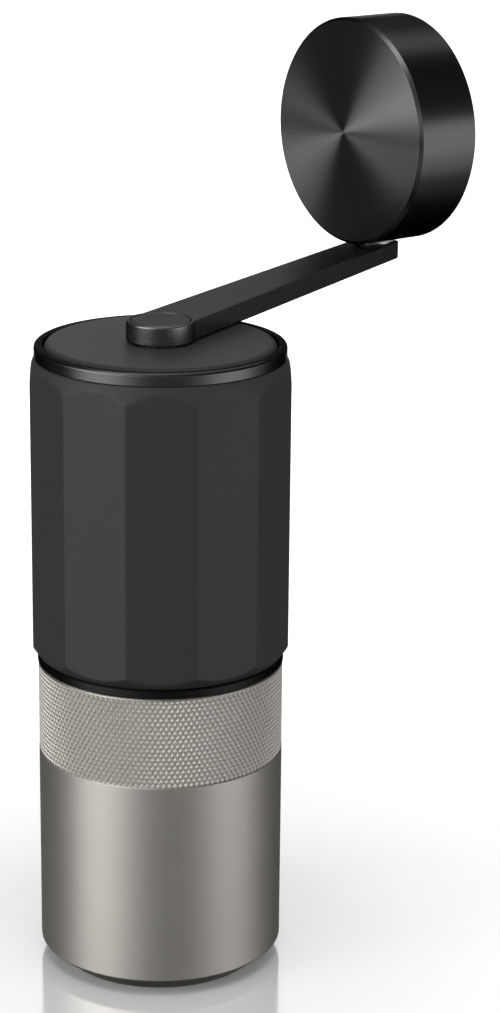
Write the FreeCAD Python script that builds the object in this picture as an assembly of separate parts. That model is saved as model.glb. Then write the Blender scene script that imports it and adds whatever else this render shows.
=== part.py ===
"""Hand crank coffee grinder: every piece as its own solid, in millimetres.

The origin is the middle of the cup's foot, where the grinder stands. +Z is up
along the shaft, and the crank points along +X. Each function makes one piece
in its place, and the list at the end writes them all.
"""
import FreeCAD, Part
import math
import os

# Grip sleeve
GRIP_ACROSS_FLATS = 56.0
GRIP_PANELS = 12
GRIP_ANGLE = 2.0
GRIP_CORNER_ROUND = 0.8
GRIP_EDGE_ROUND = 0.4
GRIP_WALL = 1.8
GRIP_SHOULDER_HEIGHT = 4.0
GRIP_SHOULDER_DRAW = 0.65
GRIP_FOOT_HEIGHT = 3.2
GRIP_FOOT_DRAW = 0.8

# Body tube, with the collar that holds the lid
TUBE_NECK = 66.8
TUBE_WALL = 2.7
COLLAR_HEIGHT = 2.8
COLLAR_INSET = 0.65
COLLAR_ROUND = 1.0
COLLAR_WALL = 1.9
COLLAR_BREAK = 0.25
LEDGE_DEPTH = 2.5

# Catch cup
CUP_HEIGHT = 70.3
CUP_INSET = 0.8
CUP_WALL = 2.4
CUP_MOUTH_WALL = 1.9
CUP_FLOOR = 3.2
CUP_FLOOR_ROUND = 5.0
CUP_FOOT_DRAW = 4.6
CUP_FOOT_RISE = 3.8
KNURL_HEIGHT = 20.3
KNURL_DEPTH = 0.3
KNURL_BEVEL = 0.35

# Burr housing, screwed into the foot of the tube
FLANGE_HEIGHT = 1.9
FLANGE_INSET = 0.7
FLANGE_BREAK = 0.35
SPIGOT_LENGTH = 12.5
FUNNEL_LIP = 0.6
THROAT_HEIGHT = 1.2
THROAT_MARGIN = 0.6

# Burrs
SEAT_WALL = 1.0
CONE_TOP_DIAMETER = 16.0
CONE_HEIGHT = 20.4
CONE_LAND = 1.2
RING_WALL = 2.5
RING_HEIGHT = 13.4
BURR_GAP = 0.95
FLUTES = 7
FLUTE_DEPTH = 2.6
FLUTE_WIDTH = 5.2
FLUTE_TAPER_ANGLE = -8.0
TEETH = 36
TOOTH_DEPTH = 0.8
TOOTH_WIDTH = 1.7
TOOTH_TAPER_ANGLE = 6.0
TOOTH_SLANT_ANGLE = 18.0
RING_TEETH = 24
RING_TAPER_ANGLE = 1.5
RETAINER_HEIGHT = 2.6
RETAINER_WALL = 2.1
RETAINER_NOTCHES = 4
RETAINER_NOTCH_WIDTH = 3.0
RETAINER_NOTCH_DEPTH = 1.2

# Shaft and its bearings
SHAFT_DIAMETER = 8.0
SHAFT_WAIST_DIAMETER = 9.8
SHAFT_HEX = 6.9
SHAFT_FLATS = 6.4
THREAD_DIAMETER = 6.0
SHAFT_TIP = 0.6
BEARING_DIAMETER = 16.0
BEARING_WIDTH = 5.0
BALL_DIAMETER = 2.0
BALLS = 7
BALL_SUNK = 0.08
CAGE_WALL = 0.6
CAGE_WIDTH = 2.8

# Bearing bridges
BRIDGE_ARMS = 3
BRIDGE_ANGLE = 60.0
BRIDGE_HUB_WALL = 2.2
BRIDGE_ARM_WIDTH = 5.0
BRIDGE_SHOULDER = 1.4
BRIDGE_SHOULDER_REACH = 1.0
LOWER_BRIDGE_RISE = 4.0
UPPER_BRIDGE_DROP = 2.7

# Adjusting dial under the cone burr, with its click track
CLICK_PLATE_HEIGHT = 1.2
CLICK_PLATE_DIAMETER = 22.0
CLICK_TRACK_DIAMETER = 15.0
CLICK_TRACK_DEPTH = 0.45
DIAL_DIAMETER = 25.0
DIAL_HEIGHT = 6.5
DIAL_SCALLOPS = 16
DIAL_SCALLOP_DIAMETER = 3.4
DIAL_SCALLOP_DEPTH = 0.8
DETENTS = 2
DETENT_BALL_DIAMETER = 2.2
DETENT_POCKET_DEPTH = 4.2
DETENT_WIRE = 0.3
DETENT_TURNS = 3
SPRING_DIAMETER = 10.4
SPRING_WIRE = 0.9
SPRING_TURNS = 4
SPRING_LENGTH = 7.4
ADJUST_RISE = 1.25
WASHER_HEIGHT = 1.0
WASHER_DIAMETER = 12.4

# Hopper lid
LID_RISE = 0.35
LID_MARGIN = 1.0
LID_ROUND = 2.0
LID_SKIRT_DEPTH = 5.0
LID_SKIRT_WALL = 3.0
LID_SKIRT_GAP = 0.25
SEAL_SECTION = 1.8

# Crank
CRANK_REACH = 98.3
ARM_THICKNESS = 4.4
ARM_ROOT_WIDTH = 13.7
ARM_TIP_WIDTH = 10.1
ARM_OVERHANG = 4.5
ARM_TIP_ROUND = 1.2
ARM_BREAK = 0.4
HUB_DIAMETER = 15.0
HUB_CAP_DIAMETER = 12.8
HUB_CAP_HEIGHT = 1.0
HUB_CAP_BREAK = 0.2
SOCKET_DIAMETER = 12.0
SOCKET_LENGTH = 9.4
SOCKET_ROOF = 1.2
SOCKET_KEY_HEX = 9.0
SOCKET_KEY_HEIGHT = 1.7

# Knob and its spindle
KNOB_DIAMETER = 54.2
KNOB_THICKNESS = 17.5
KNOB_CHAMFER = 0.8
KNOB_WALL = 2.0
KNOB_FACE = 2.2
KNOB_ANGLE = -22.9
KNOB_GAP = 0.5
KNOB_CORE_WIDTH = 14.0
KNOB_CORE_HEIGHT = 24.0
SPINDLE_DIAMETER = 6.0
SPINDLE_ROOT_DIAMETER = 5.0
SPINDLE_ROOT_LENGTH = 2.2
SPINDLE_FLANGE_DIAMETER = 9.2
BUSH_WALL = 1.5
BUSH_LENGTH = 15.6
BUSH_FLANGE_WALL = 0.9
BUSH_FLANGE_HEIGHT = 0.6
BUSH_END_GAP = 0.15
CLIP_DIAMETER = 8.4
CLIP_HEIGHT = 0.7
CLIP_GROOVE = 0.65
CLIP_MOUTH = 3.2
SPINDLE_TAIL = 1.4

# Countersunk screws: thread, head and length
CRANK_SCREW_DIAMETER = 3.0
CRANK_SCREW_HEAD = 5.6
HUB_SCREW_SHORT = 0.4
SPINDLE_SCREW_LENGTH = 8.0
BRIDGE_SCREW_DIAMETER = 2.5
BRIDGE_SCREW_HEAD = 4.8
BRIDGE_SCREW_LENGTH = 8.0

# Clearances
FIT = 0.03
RUN = 0.06
CLEAR = 0.3
SLIDE = 0.15
SEAM = 0.2

UP = FreeCAD.Vector(0, 0, 1)
ACROSS = FreeCAD.Vector(1, 0, 0)
SIDEWAYS = FreeCAD.Vector(0, 1, 0)
ORIGIN = FreeCAD.Vector(0, 0, 0)
# Length of the cutting bodies, longer than any piece
LONG = 4 * GRIP_ACROSS_FLATS

# Radii that several pieces share
GRIP_APOTHEM = GRIP_ACROSS_FLATS / 2
GRIP_CORNER = GRIP_APOTHEM / math.cos(math.pi / GRIP_PANELS)
TUBE_RADIUS = GRIP_APOTHEM - GRIP_WALL - FIT
BORE_RADIUS = TUBE_RADIUS - TUBE_WALL
COLLAR_RADIUS = GRIP_APOTHEM - COLLAR_INSET
RECESS_RADIUS = COLLAR_RADIUS - COLLAR_WALL
CUP_RADIUS = GRIP_APOTHEM - CUP_INSET
MOUTH_RADIUS = CUP_RADIUS - CUP_MOUTH_WALL
SPIGOT_RADIUS = MOUTH_RADIUS - SLIDE
FLANGE_RADIUS = GRIP_APOTHEM - FLANGE_INSET
SEAT_RADIUS = BORE_RADIUS - SEAT_WALL
RING_RADIUS = SEAT_RADIUS - FIT
RING_MOUTH_RADIUS = RING_RADIUS - RING_WALL
CONE_RADIUS = RING_MOUTH_RADIUS - BURR_GAP
CONE_TOP_RADIUS = CONE_TOP_DIAMETER / 2
CONE_ANGLE = math.atan2(CONE_RADIUS - CONE_TOP_RADIUS, CONE_HEIGHT - CONE_LAND)
RING_THROAT_RADIUS = RING_MOUTH_RADIUS - (RING_HEIGHT - CONE_LAND) * math.tan(CONE_ANGLE)
SHAFT_RADIUS = SHAFT_DIAMETER / 2
BEARING_RADIUS = BEARING_DIAMETER / 2
BALL_RADIUS = BALL_DIAMETER / 2
PITCH_RADIUS = (SHAFT_RADIUS + BEARING_RADIUS) / 2
RACE_GAP = BALL_RADIUS - BALL_SUNK
TRACK_RADIUS = CLICK_TRACK_DIAMETER / 2
DETENT_RADIUS = DETENT_BALL_DIAMETER / 2
SOCKET_RADIUS = SOCKET_DIAMETER / 2
SKIRT_RADIUS = BORE_RADIUS - LID_SKIRT_GAP
SEAL_RADIUS = SEAL_SECTION / 2
SEAL_MIDDLE_RADIUS = BORE_RADIUS - RUN - SEAL_RADIUS
KNOB_RADIUS = KNOB_DIAMETER / 2
CAVITY_RADIUS = KNOB_RADIUS - KNOB_WALL
SPINDLE_RADIUS = SPINDLE_DIAMETER / 2
BUSH_BORE = SPINDLE_RADIUS + RUN
BUSH_RADIUS = BUSH_BORE + BUSH_WALL
BUSH_FLANGE_RADIUS = BUSH_RADIUS + BUSH_FLANGE_WALL
CLIP_SEAT = SPINDLE_RADIUS - CLIP_GROOVE

# Heights, from the foot up
FLANGE_LOW = CUP_HEIGHT + SEAM
NECK_LOW = FLANGE_LOW + FLANGE_HEIGHT
COLLAR_LOW = NECK_LOW + TUBE_NECK
RIM = COLLAR_LOW + COLLAR_HEIGHT
LEDGE = RIM - LEDGE_DEPTH
SPIGOT_LOW = FLANGE_LOW - SPIGOT_LENGTH
BURR_LOW = SPIGOT_LOW + RETAINER_HEIGHT
RING_TOP = BURR_LOW + RING_HEIGHT
CONE_TOP = BURR_LOW + CONE_HEIGHT
WASHER_LOW = CONE_TOP + SPRING_LENGTH
LOWER_BEARING = WASHER_LOW + WASHER_HEIGHT
LOWER_HUB = LOWER_BEARING - BRIDGE_SHOULDER
PLUG_TOP = LOWER_HUB - LOWER_BRIDGE_RISE
CLICK_LOW = BURR_LOW - CLICK_PLATE_HEIGHT
DIAL_TOP = CLICK_LOW - CLEAR
DIAL_LOW = DIAL_TOP - DIAL_HEIGHT
THREAD_TOP = DIAL_TOP + ADJUST_RISE + CLEAR
DETENT_MIDDLE = CLICK_LOW + CLICK_TRACK_DEPTH - RUN - DETENT_RADIUS
LID_TOP = RIM + LID_RISE
LID_LOW = LEDGE + RUN
SKIRT_LOW = LID_LOW - LID_SKIRT_DEPTH
ARM_LOW = LID_TOP + CLEAR
ARM_TOP = ARM_LOW + ARM_THICKNESS
CAP_LOW = ARM_TOP - HUB_CAP_HEIGHT
SOCKET_LOW = ARM_LOW - SOCKET_LENGTH
SOCKET_BOTTOM = ARM_LOW - SOCKET_ROOF
KEY_TOP = ARM_LOW + SOCKET_KEY_HEIGHT
SHAFT_TOP = SOCKET_BOTTOM - RUN
UPPER_HUB_TOP = min(SOCKET_LOW, SKIRT_LOW) - UPPER_BRIDGE_DROP
UPPER_BEARING = UPPER_HUB_TOP - BRIDGE_SHOULDER - BEARING_WIDTH
KNOB_LOW = ARM_TOP + KNOB_GAP
KNOB_MIDDLE = KNOB_LOW + KNOB_RADIUS
BUSH_LOW = KNOB_LOW + BUSH_END_GAP
BUSH_TOP = BUSH_LOW + BUSH_LENGTH
CLIP_LOW = BUSH_TOP + RUN
CLIP_TOP = CLIP_LOW + CLIP_HEIGHT
SPINDLE_TOP = CLIP_TOP + SPINDLE_TAIL


def lathe(outline):
    """Turn a closed outline of (radius, height) points about the shaft's line."""
    corners = [FreeCAD.Vector(radius, 0, height) for radius, height in outline]
    wire = Part.makePolygon(corners + corners[:1])
    return Part.Face(wire).revolve(ORIGIN, UP, 360)


def disc(radius, low, high):
    """Upright round bar between two heights."""
    return Part.makeCylinder(radius, high - low, FreeCAD.Vector(0, 0, low))


def ring(inner, outer, low, high):
    """Flat ring between two heights."""
    return lathe([(inner, low), (outer, low), (outer, high), (inner, high)])


def prism(sides, across_flats, low, high, turn=0.0):
    """Upright bar with flat sides, the first flat facing the given angle."""
    corner = across_flats / 2 / math.cos(math.pi / sides)
    points = []
    for side in range(sides + 1):
        angle = math.radians(turn) + (2 * side + 1) * math.pi / sides
        points.append(FreeCAD.Vector(corner * math.cos(angle), corner * math.sin(angle), low))
    return Part.Face(Part.makePolygon(points)).extrude(FreeCAD.Vector(0, 0, high - low))


def turned(shape, angle, centre=ORIGIN, axis=UP):
    """Copy of a shape, turned about an axis."""
    copy = shape.copy()
    copy.rotate(centre, axis, angle)
    return copy


def around(shape, count, start=0.0):
    """Copies of a shape, evenly spaced about the shaft's line."""
    return [turned(shape, start + 360.0 * index / count) for index in range(count)]


def moved(shape, x, y, z):
    """Copy of a shape, moved."""
    copy = shape.copy()
    copy.translate(FreeCAD.Vector(x, y, z))
    return copy


def rims(shape, radius, height):
    """Round edges of a turned piece at one radius and height."""
    found = []
    for edge in shape.Edges:
        curve = edge.Curve
        if isinstance(curve, Part.Circle):
            if abs(curve.Radius - radius) < 1e-4 and abs(curve.Center.z - height) < 1e-4:
                found.append(edge)
    return found


def outer_edges(shape, height):
    """Edges round the outside of a flat face at one height."""
    for face in shape.Faces:
        box = face.BoundBox
        if abs(box.ZMin - height) < 1e-4 and abs(box.ZMax - height) < 1e-4:
            return face.OuterWire.Edges
    return []


def flat_between(shape, width, low, high):
    """Two flats, a width apart, milled along a round bar between two heights."""
    size = LONG / 2
    side = Part.makeBox(size, size, high - low, FreeCAD.Vector(width / 2, -size / 2, low))
    return shape.cut((side, turned(side, 180)))


def screw(diameter, head, length, gap=0.0):
    """Countersunk screw with its head's face at height 0 and its tip down.

    With a gap it is the hole for that screw, open above the head.
    """
    shank = diameter / 2 + gap
    sunk = (head - diameter) / 2
    rim = head / 2 + gap
    outline = [(0, -length - gap), (shank, -length - gap), (shank, -sunk), (rim, 0)]
    if gap:
        outline.append((rim, sunk))
    outline.append((0, outline[-1][1]))
    return lathe(outline)


def helix_point(radius, pitch, angle):
    """Point on a coil's middle line after a turn of the given angle."""
    return FreeCAD.Vector(
        radius * math.cos(angle), radius * math.sin(angle), pitch * angle / (2 * math.pi)
    )


def coil_gap(radius, pitch, turns, wire):
    """Least gap between two stretches of a coil that lie half a turn or more apart."""
    eighth = math.pi / 4
    half_turn = 4
    points = [helix_point(radius, pitch, step * eighth) for step in range(8 * turns + 1)]
    gaps = []
    for index, point in enumerate(points):
        for other in points[index + half_turn:]:
            gaps.append((point - other).Length - wire)
    return min(gaps)


def coil(name, diameter, wire, length, turns):
    """Round wire wound upwards from height 0, as one tube along quarter-turn arcs."""
    radius = diameter / 2
    pitch = (length - wire) / turns
    quarter = math.pi / 2
    arcs = []
    for step in range(4 * turns):
        start = step * quarter
        arc = Part.Arc(
            helix_point(radius, pitch, start),
            helix_point(radius, pitch, start + quarter / 2),
            helix_point(radius, pitch, start + quarter),
        )
        arcs.append(arc.toShape())
    tangent = FreeCAD.Vector(0, radius, pitch / (2 * math.pi))
    section = Part.Wire(Part.makeCircle(wire / 2, helix_point(radius, pitch, 0), tangent))
    print(name, "least gap to itself", round(coil_gap(radius, pitch, turns, wire), 2), "mm")
    tube = Part.Wire(arcs).makePipeShell([section], True, False)
    return moved(tube, 0, 0, wire / 2)


def groove(width, depth, taper, slant, radius, low):
    """V-shaped cutter along a cone's side, with its point on the given side of the surface.

    A positive depth points outwards and a negative one inwards. The cutter leans
    round the cone by the slant, and off its side by the taper.
    """
    corners = [(depth, 0), (-depth, -width), (-depth, width), (depth, 0)]
    points = [FreeCAD.Vector(out, side, 0) for out, side in corners]
    cutter = Part.Face(Part.makePolygon(points)).extrude(FreeCAD.Vector(0, 0, 2 * CONE_HEIGHT))
    cutter.translate(FreeCAD.Vector(0, 0, -CONE_HEIGHT))
    cutter.rotate(ORIGIN, ACROSS, slant)
    cutter.rotate(ORIGIN, SIDEWAYS, taper - math.degrees(CONE_ANGLE))
    cutter.translate(FreeCAD.Vector(radius, 0, low))
    return cutter


def catch_cup():
    """Cup that pushes on below and catches the ground coffee."""
    inner = CUP_RADIUS - CUP_WALL
    band = CUP_RADIUS - KNURL_DEPTH / 2
    knurl_low = CUP_HEIGHT - KNURL_HEIGHT
    mouth_floor = SPIGOT_LOW - CLEAR
    cup = lathe([
        (0, 0),
        (CUP_RADIUS - CUP_FOOT_DRAW, 0),
        (CUP_RADIUS, CUP_FOOT_RISE),
        (CUP_RADIUS, knurl_low),
        (band, knurl_low + KNURL_DEPTH / 2),
        (band, CUP_HEIGHT - KNURL_BEVEL),
        (band - KNURL_BEVEL, CUP_HEIGHT),
        (MOUTH_RADIUS, CUP_HEIGHT),
        (MOUTH_RADIUS, mouth_floor),
        (inner, mouth_floor),
        (inner, CUP_FLOOR),
        (0, CUP_FLOOR),
    ])
    return cup.makeFillet(CUP_FLOOR_ROUND, rims(cup, inner, CUP_FLOOR))


def burr_housing():
    """Ring that closes the foot of the tube, holds the ring burr and carries the cup."""
    plug = BORE_RADIUS - FIT
    throat = RING_THROAT_RADIUS + THROAT_MARGIN
    seat_top = RING_TOP + FIT
    return lathe([
        (SEAT_RADIUS, SPIGOT_LOW),
        (SPIGOT_RADIUS, SPIGOT_LOW),
        (SPIGOT_RADIUS, FLANGE_LOW),
        (FLANGE_RADIUS, FLANGE_LOW),
        (FLANGE_RADIUS, NECK_LOW - FLANGE_BREAK),
        (FLANGE_RADIUS - FLANGE_BREAK, NECK_LOW),
        (plug, NECK_LOW),
        (plug, PLUG_TOP),
        (plug - FUNNEL_LIP, PLUG_TOP),
        (throat, seat_top + THROAT_HEIGHT),
        (throat, seat_top),
        (SEAT_RADIUS, seat_top),
    ])


def bridge_screw(height, gap=0.0):
    """Screw through the tube's wall into a bridge arm that points along +X."""
    shape = screw(BRIDGE_SCREW_DIAMETER, BRIDGE_SCREW_HEAD, BRIDGE_SCREW_LENGTH, gap)
    head_place = math.sqrt(TUBE_RADIUS ** 2 - (BRIDGE_SCREW_HEAD / 2) ** 2) - RUN
    return moved(turned(shape, 90, axis=SIDEWAYS), head_place, 0, height)


def bridge_screws(height, gap=0.0):
    """One screw for each arm of a bridge."""
    return around(bridge_screw(height, gap), BRIDGE_ARMS, BRIDGE_ANGLE)


def bridge_middle(bearing, shoulder_above):
    """Height of a bridge's arms, half way up its hub."""
    low = bearing if shoulder_above else bearing - BRIDGE_SHOULDER
    return low + (BEARING_WIDTH + BRIDGE_SHOULDER) / 2


def bridge(bearing, shoulder_above):
    """Three-armed carrier of one bearing, with a shoulder above or below the bearing."""
    middle = bridge_middle(bearing, shoulder_above)
    height = BEARING_WIDTH + BRIDGE_SHOULDER
    low = middle - height / 2
    hub = disc(BEARING_RADIUS + BRIDGE_HUB_WALL, low, low + height)
    corner = FreeCAD.Vector(0, -BRIDGE_ARM_WIDTH / 2, low)
    arm = Part.makeBox(LONG, BRIDGE_ARM_WIDTH, height, corner)
    arm = arm.common(disc(BORE_RADIUS - FIT, low, low + height))
    body = hub.fuse(around(arm, BRIDGE_ARMS, BRIDGE_ANGLE)).removeSplitter()
    seat = disc(BEARING_RADIUS, bearing, bearing + BEARING_WIDTH)
    hole = disc(BEARING_RADIUS - BRIDGE_SHOULDER_REACH, low, low + height)
    return body.cut([seat, hole] + bridge_screws(middle, FIT))


def upper_bridge():
    """Carrier of the bearing under the lid."""
    return bridge(UPPER_BEARING, True)


def lower_bridge():
    """Carrier of the bearing above the burrs."""
    return bridge(LOWER_BEARING, False)


def upper_bridge_screws():
    """Screws of the upper bridge, hidden by the grip."""
    return Part.makeCompound(bridge_screws(bridge_middle(UPPER_BEARING, True)))


def lower_bridge_screws():
    """Screws of the lower bridge, hidden by the grip."""
    return Part.makeCompound(bridge_screws(bridge_middle(LOWER_BEARING, False)))


def body_tube():
    """Hopper tube, with a collar on top that the lid sits in."""
    tube = lathe([
        (BORE_RADIUS, NECK_LOW),
        (TUBE_RADIUS, NECK_LOW),
        (TUBE_RADIUS, COLLAR_LOW),
        (COLLAR_RADIUS, COLLAR_LOW),
        (COLLAR_RADIUS, RIM),
        (RECESS_RADIUS + COLLAR_BREAK, RIM),
        (RECESS_RADIUS, RIM - COLLAR_BREAK),
        (RECESS_RADIUS, LEDGE),
        (BORE_RADIUS, LEDGE),
    ])
    tube = tube.makeFillet(COLLAR_ROUND, rims(tube, COLLAR_RADIUS, RIM))
    upper = bridge_screws(bridge_middle(UPPER_BEARING, True), FIT)
    lower = bridge_screws(bridge_middle(LOWER_BEARING, False), FIT)
    return tube.cut(upper + lower)


def grip_sleeve():
    """Soft sleeve with flat panels, whose ends are drawn in to the collar and the flange."""
    low = NECK_LOW + FIT
    high = COLLAR_LOW - FIT
    inner = TUBE_RADIUS + FIT
    top = GRIP_APOTHEM - GRIP_SHOULDER_DRAW
    panels = prism(GRIP_PANELS, GRIP_ACROSS_FLATS, low, high, GRIP_ANGLE)
    corners = [edge for edge in panels.Edges if abs(edge.Length - (high - low)) < 1e-4]
    panels = panels.makeFillet(GRIP_CORNER_ROUND, corners)
    outside = lathe([
        (inner, low),
        (GRIP_APOTHEM - GRIP_FOOT_DRAW, low),
        (GRIP_CORNER, low + GRIP_FOOT_HEIGHT),
        (GRIP_CORNER, high - GRIP_SHOULDER_HEIGHT),
        (top, high),
        (inner, high),
    ])
    sleeve = panels.common(outside)
    return sleeve.makeFillet(GRIP_EDGE_ROUND, rims(sleeve, top, high))


def ring_burr():
    """Fixed burr, a ring that is toothed inside and narrows upwards."""
    blank = lathe([
        (RING_MOUTH_RADIUS, BURR_LOW),
        (RING_RADIUS, BURR_LOW),
        (RING_RADIUS, RING_TOP),
        (RING_THROAT_RADIUS, RING_TOP),
        (RING_MOUTH_RADIUS, BURR_LOW + CONE_LAND),
    ])
    land = BURR_LOW + CONE_LAND
    slant = -TOOTH_SLANT_ANGLE
    tooth = groove(TOOTH_WIDTH, TOOTH_DEPTH, RING_TAPER_ANGLE, slant, RING_MOUTH_RADIUS, land)
    return blank.cut(around(tooth, RING_TEETH))


def burr_retaining_ring():
    """Threaded ring that holds the ring burr up in its seat, with notches for a spanner."""
    outer = SEAT_RADIUS - FIT
    body = ring(outer - RETAINER_WALL, outer, SPIGOT_LOW, BURR_LOW)
    corner = FreeCAD.Vector(0, -RETAINER_NOTCH_WIDTH / 2, SPIGOT_LOW)
    notch = Part.makeBox(LONG, RETAINER_NOTCH_WIDTH, RETAINER_NOTCH_DEPTH, corner)
    return body.cut(around(notch, RETAINER_NOTCHES))


def drive_shaft():
    """Shaft with a hex for the crank, a waist between the bearings, flats and a thread."""
    waist = SHAFT_WAIST_DIAMETER / 2
    thread = THREAD_DIAMETER / 2
    lower_top = LOWER_BEARING + BEARING_WIDTH
    shaft = lathe([
        (0, DIAL_LOW + SHAFT_TIP),
        (thread, DIAL_LOW + SHAFT_TIP),
        (thread, THREAD_TOP),
        (SHAFT_RADIUS, THREAD_TOP),
        (SHAFT_RADIUS, lower_top),
        (waist, lower_top),
        (waist, UPPER_BEARING),
        (SHAFT_RADIUS, UPPER_BEARING),
        (SHAFT_RADIUS, UPPER_HUB_TOP),
        (0, UPPER_HUB_TOP),
    ])
    hex_top = prism(6, SHAFT_HEX, UPPER_HUB_TOP, SHAFT_TOP)
    hex_top = hex_top.common(disc(SHAFT_RADIUS, UPPER_HUB_TOP, SHAFT_TOP))
    return flat_between(shaft.fuse(hex_top), SHAFT_FLATS, THREAD_TOP, WASHER_LOW)


def ball_track(height, gap):
    """Ring-shaped room for the balls of a bearing."""
    track = Part.makeTorus(PITCH_RADIUS, BALL_RADIUS + gap)
    return moved(track, 0, 0, height)


def outer_race(low):
    """Outer ring of a bearing, with a groove for the balls."""
    body = ring(PITCH_RADIUS + RACE_GAP, BEARING_RADIUS - FIT, low, low + BEARING_WIDTH)
    return body.cut(ball_track(low + BEARING_WIDTH / 2, RUN))


def inner_race(low):
    """Inner ring of a bearing, with a groove for the balls."""
    body = ring(SHAFT_RADIUS + FIT, PITCH_RADIUS - RACE_GAP, low, low + BEARING_WIDTH)
    return body.cut(ball_track(low + BEARING_WIDTH / 2, RUN))


def bearing_balls(low):
    """Balls of a bearing."""
    middle = FreeCAD.Vector(PITCH_RADIUS, 0, low + BEARING_WIDTH / 2)
    return Part.makeCompound(around(Part.makeSphere(BALL_RADIUS, middle), BALLS))


def bearing_cage(low):
    """Ring that keeps the balls of a bearing apart."""
    middle = low + BEARING_WIDTH / 2
    half_wall = CAGE_WALL / 2
    half_width = CAGE_WIDTH / 2
    low_edge = middle - half_width
    high_edge = middle + half_width
    body = ring(PITCH_RADIUS - half_wall, PITCH_RADIUS + half_wall, low_edge, high_edge)
    pocket = Part.makeCylinder(BALL_RADIUS + FIT, BEARING_RADIUS, FreeCAD.Vector(0, 0, middle), ACROSS)
    return body.cut(around(pocket, BALLS))


def bearing(name, low):
    """The four pieces of one ball bearing."""
    return {
        name + "_outer_race": outer_race(low),
        name + "_inner_race": inner_race(low),
        name + "_balls": bearing_balls(low),
        name + "_cage": bearing_cage(low),
    }


def spring_washer():
    """Washer between the spring and the lower bearing."""
    return ring(SHAFT_RADIUS + FIT, WASHER_DIAMETER / 2, WASHER_LOW, LOWER_BEARING)


def burr_spring():
    """Spring that presses the cone burr down on the dial."""
    wire = coil("burr_spring", SPRING_DIAMETER, SPRING_WIRE, SPRING_LENGTH - 2 * RUN, SPRING_TURNS)
    return moved(wire, 0, 0, CONE_TOP + RUN)


def cone_burr():
    """Turning burr, with deep flutes that break the beans and fine teeth that grind them."""
    blank = lathe([
        (0, BURR_LOW),
        (CONE_RADIUS, BURR_LOW),
        (CONE_RADIUS, BURR_LOW + CONE_LAND),
        (CONE_TOP_RADIUS, CONE_TOP),
        (0, CONE_TOP),
    ])
    flute_height = CONE_HEIGHT / 2
    flute_radius = CONE_RADIUS - (flute_height - CONE_LAND) * math.tan(CONE_ANGLE)
    middle = BURR_LOW + flute_height
    land = BURR_LOW + CONE_LAND
    slant = TOOTH_SLANT_ANGLE
    flute = groove(FLUTE_WIDTH, -FLUTE_DEPTH, FLUTE_TAPER_ANGLE, slant, flute_radius, middle)
    tooth = groove(TOOTH_WIDTH, -TOOTH_DEPTH, TOOTH_TAPER_ANGLE, slant, CONE_RADIUS, land)
    bore = disc(SHAFT_RADIUS + RUN, BURR_LOW, CONE_TOP)
    bore = flat_between(bore, SHAFT_FLATS + 2 * RUN, BURR_LOW, CONE_TOP)
    return blank.cut([bore] + around(tooth, TEETH) + around(flute, FLUTES))


def click_track():
    """Ring-shaped room for the detent balls."""
    track = Part.makeTorus(TRACK_RADIUS, DETENT_RADIUS + RUN)
    return moved(track, 0, 0, DETENT_MIDDLE)


def click_plate():
    """Plate under the cone burr that the detent balls run on."""
    body = ring(SHAFT_RADIUS + RUN, CLICK_PLATE_DIAMETER / 2, CLICK_LOW, BURR_LOW)
    return body.cut(click_track())


def detent_pockets(radius, low, high):
    """Upright round bars on the click track's circle, one for each detent."""
    bar = moved(disc(radius, low, high), TRACK_RADIUS, 0, 0)
    return around(bar, DETENTS)


def adjust_dial():
    """Nut on the foot of the shaft that sets the grind, scalloped for the fingers."""
    radius = DIAL_DIAMETER / 2
    scallop_radius = DIAL_SCALLOP_DIAMETER / 2
    body = disc(radius, DIAL_LOW, DIAL_TOP)
    scallop = moved(
        disc(scallop_radius, DIAL_LOW, DIAL_TOP), radius + scallop_radius - DIAL_SCALLOP_DEPTH, 0, 0
    )
    bore = disc(THREAD_DIAMETER / 2 + RUN, DIAL_LOW, DIAL_TOP)
    pockets = detent_pockets(DETENT_RADIUS + RUN, DIAL_TOP - DETENT_POCKET_DEPTH, DIAL_TOP)
    return body.cut([bore] + pockets + around(scallop, DIAL_SCALLOPS))


def detent_balls():
    """Balls that click in the track."""
    middle = FreeCAD.Vector(TRACK_RADIUS, 0, DETENT_MIDDLE)
    return Part.makeCompound(around(Part.makeSphere(DETENT_RADIUS, middle), DETENTS))


def detent_springs():
    """Springs that push the detent balls up."""
    floor = DIAL_TOP - DETENT_POCKET_DEPTH
    length = DETENT_MIDDLE - DETENT_RADIUS - floor - 2 * FIT
    diameter = DETENT_BALL_DIAMETER - DETENT_WIRE - 2 * RUN
    wire = coil("detent_springs", diameter, DETENT_WIRE, length, DETENT_TURNS)
    return Part.makeCompound(around(moved(wire, TRACK_RADIUS, 0, floor + FIT), DETENTS))


def hopper_lid():
    """Lid with a skirt that goes down into the tube and a hole for the crank's socket."""
    lid = RECESS_RADIUS - LID_MARGIN
    hole = SOCKET_RADIUS + CLEAR
    skirt_inner = SKIRT_RADIUS - LID_SKIRT_WALL
    groove_floor = SEAL_MIDDLE_RADIUS - SEAL_RADIUS - FIT
    middle = (SKIRT_LOW + LID_LOW) / 2
    half = SEAL_RADIUS + FIT
    cover = lathe([
        (hole, LID_LOW),
        (skirt_inner, LID_LOW),
        (skirt_inner, SKIRT_LOW),
        (SKIRT_RADIUS, SKIRT_LOW),
        (SKIRT_RADIUS, middle - half),
        (groove_floor, middle - half),
        (groove_floor, middle + half),
        (SKIRT_RADIUS, middle + half),
        (SKIRT_RADIUS, LID_LOW),
        (lid, LID_LOW),
        (lid, LID_TOP),
        (hole, LID_TOP),
    ])
    return cover.makeFillet(LID_ROUND, rims(cover, lid, LID_TOP))


def lid_seal():
    """Round-section ring that holds the lid in the tube."""
    return moved(Part.makeTorus(SEAL_MIDDLE_RADIUS, SEAL_RADIUS), 0, 0, (SKIRT_LOW + LID_LOW) / 2)


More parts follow.
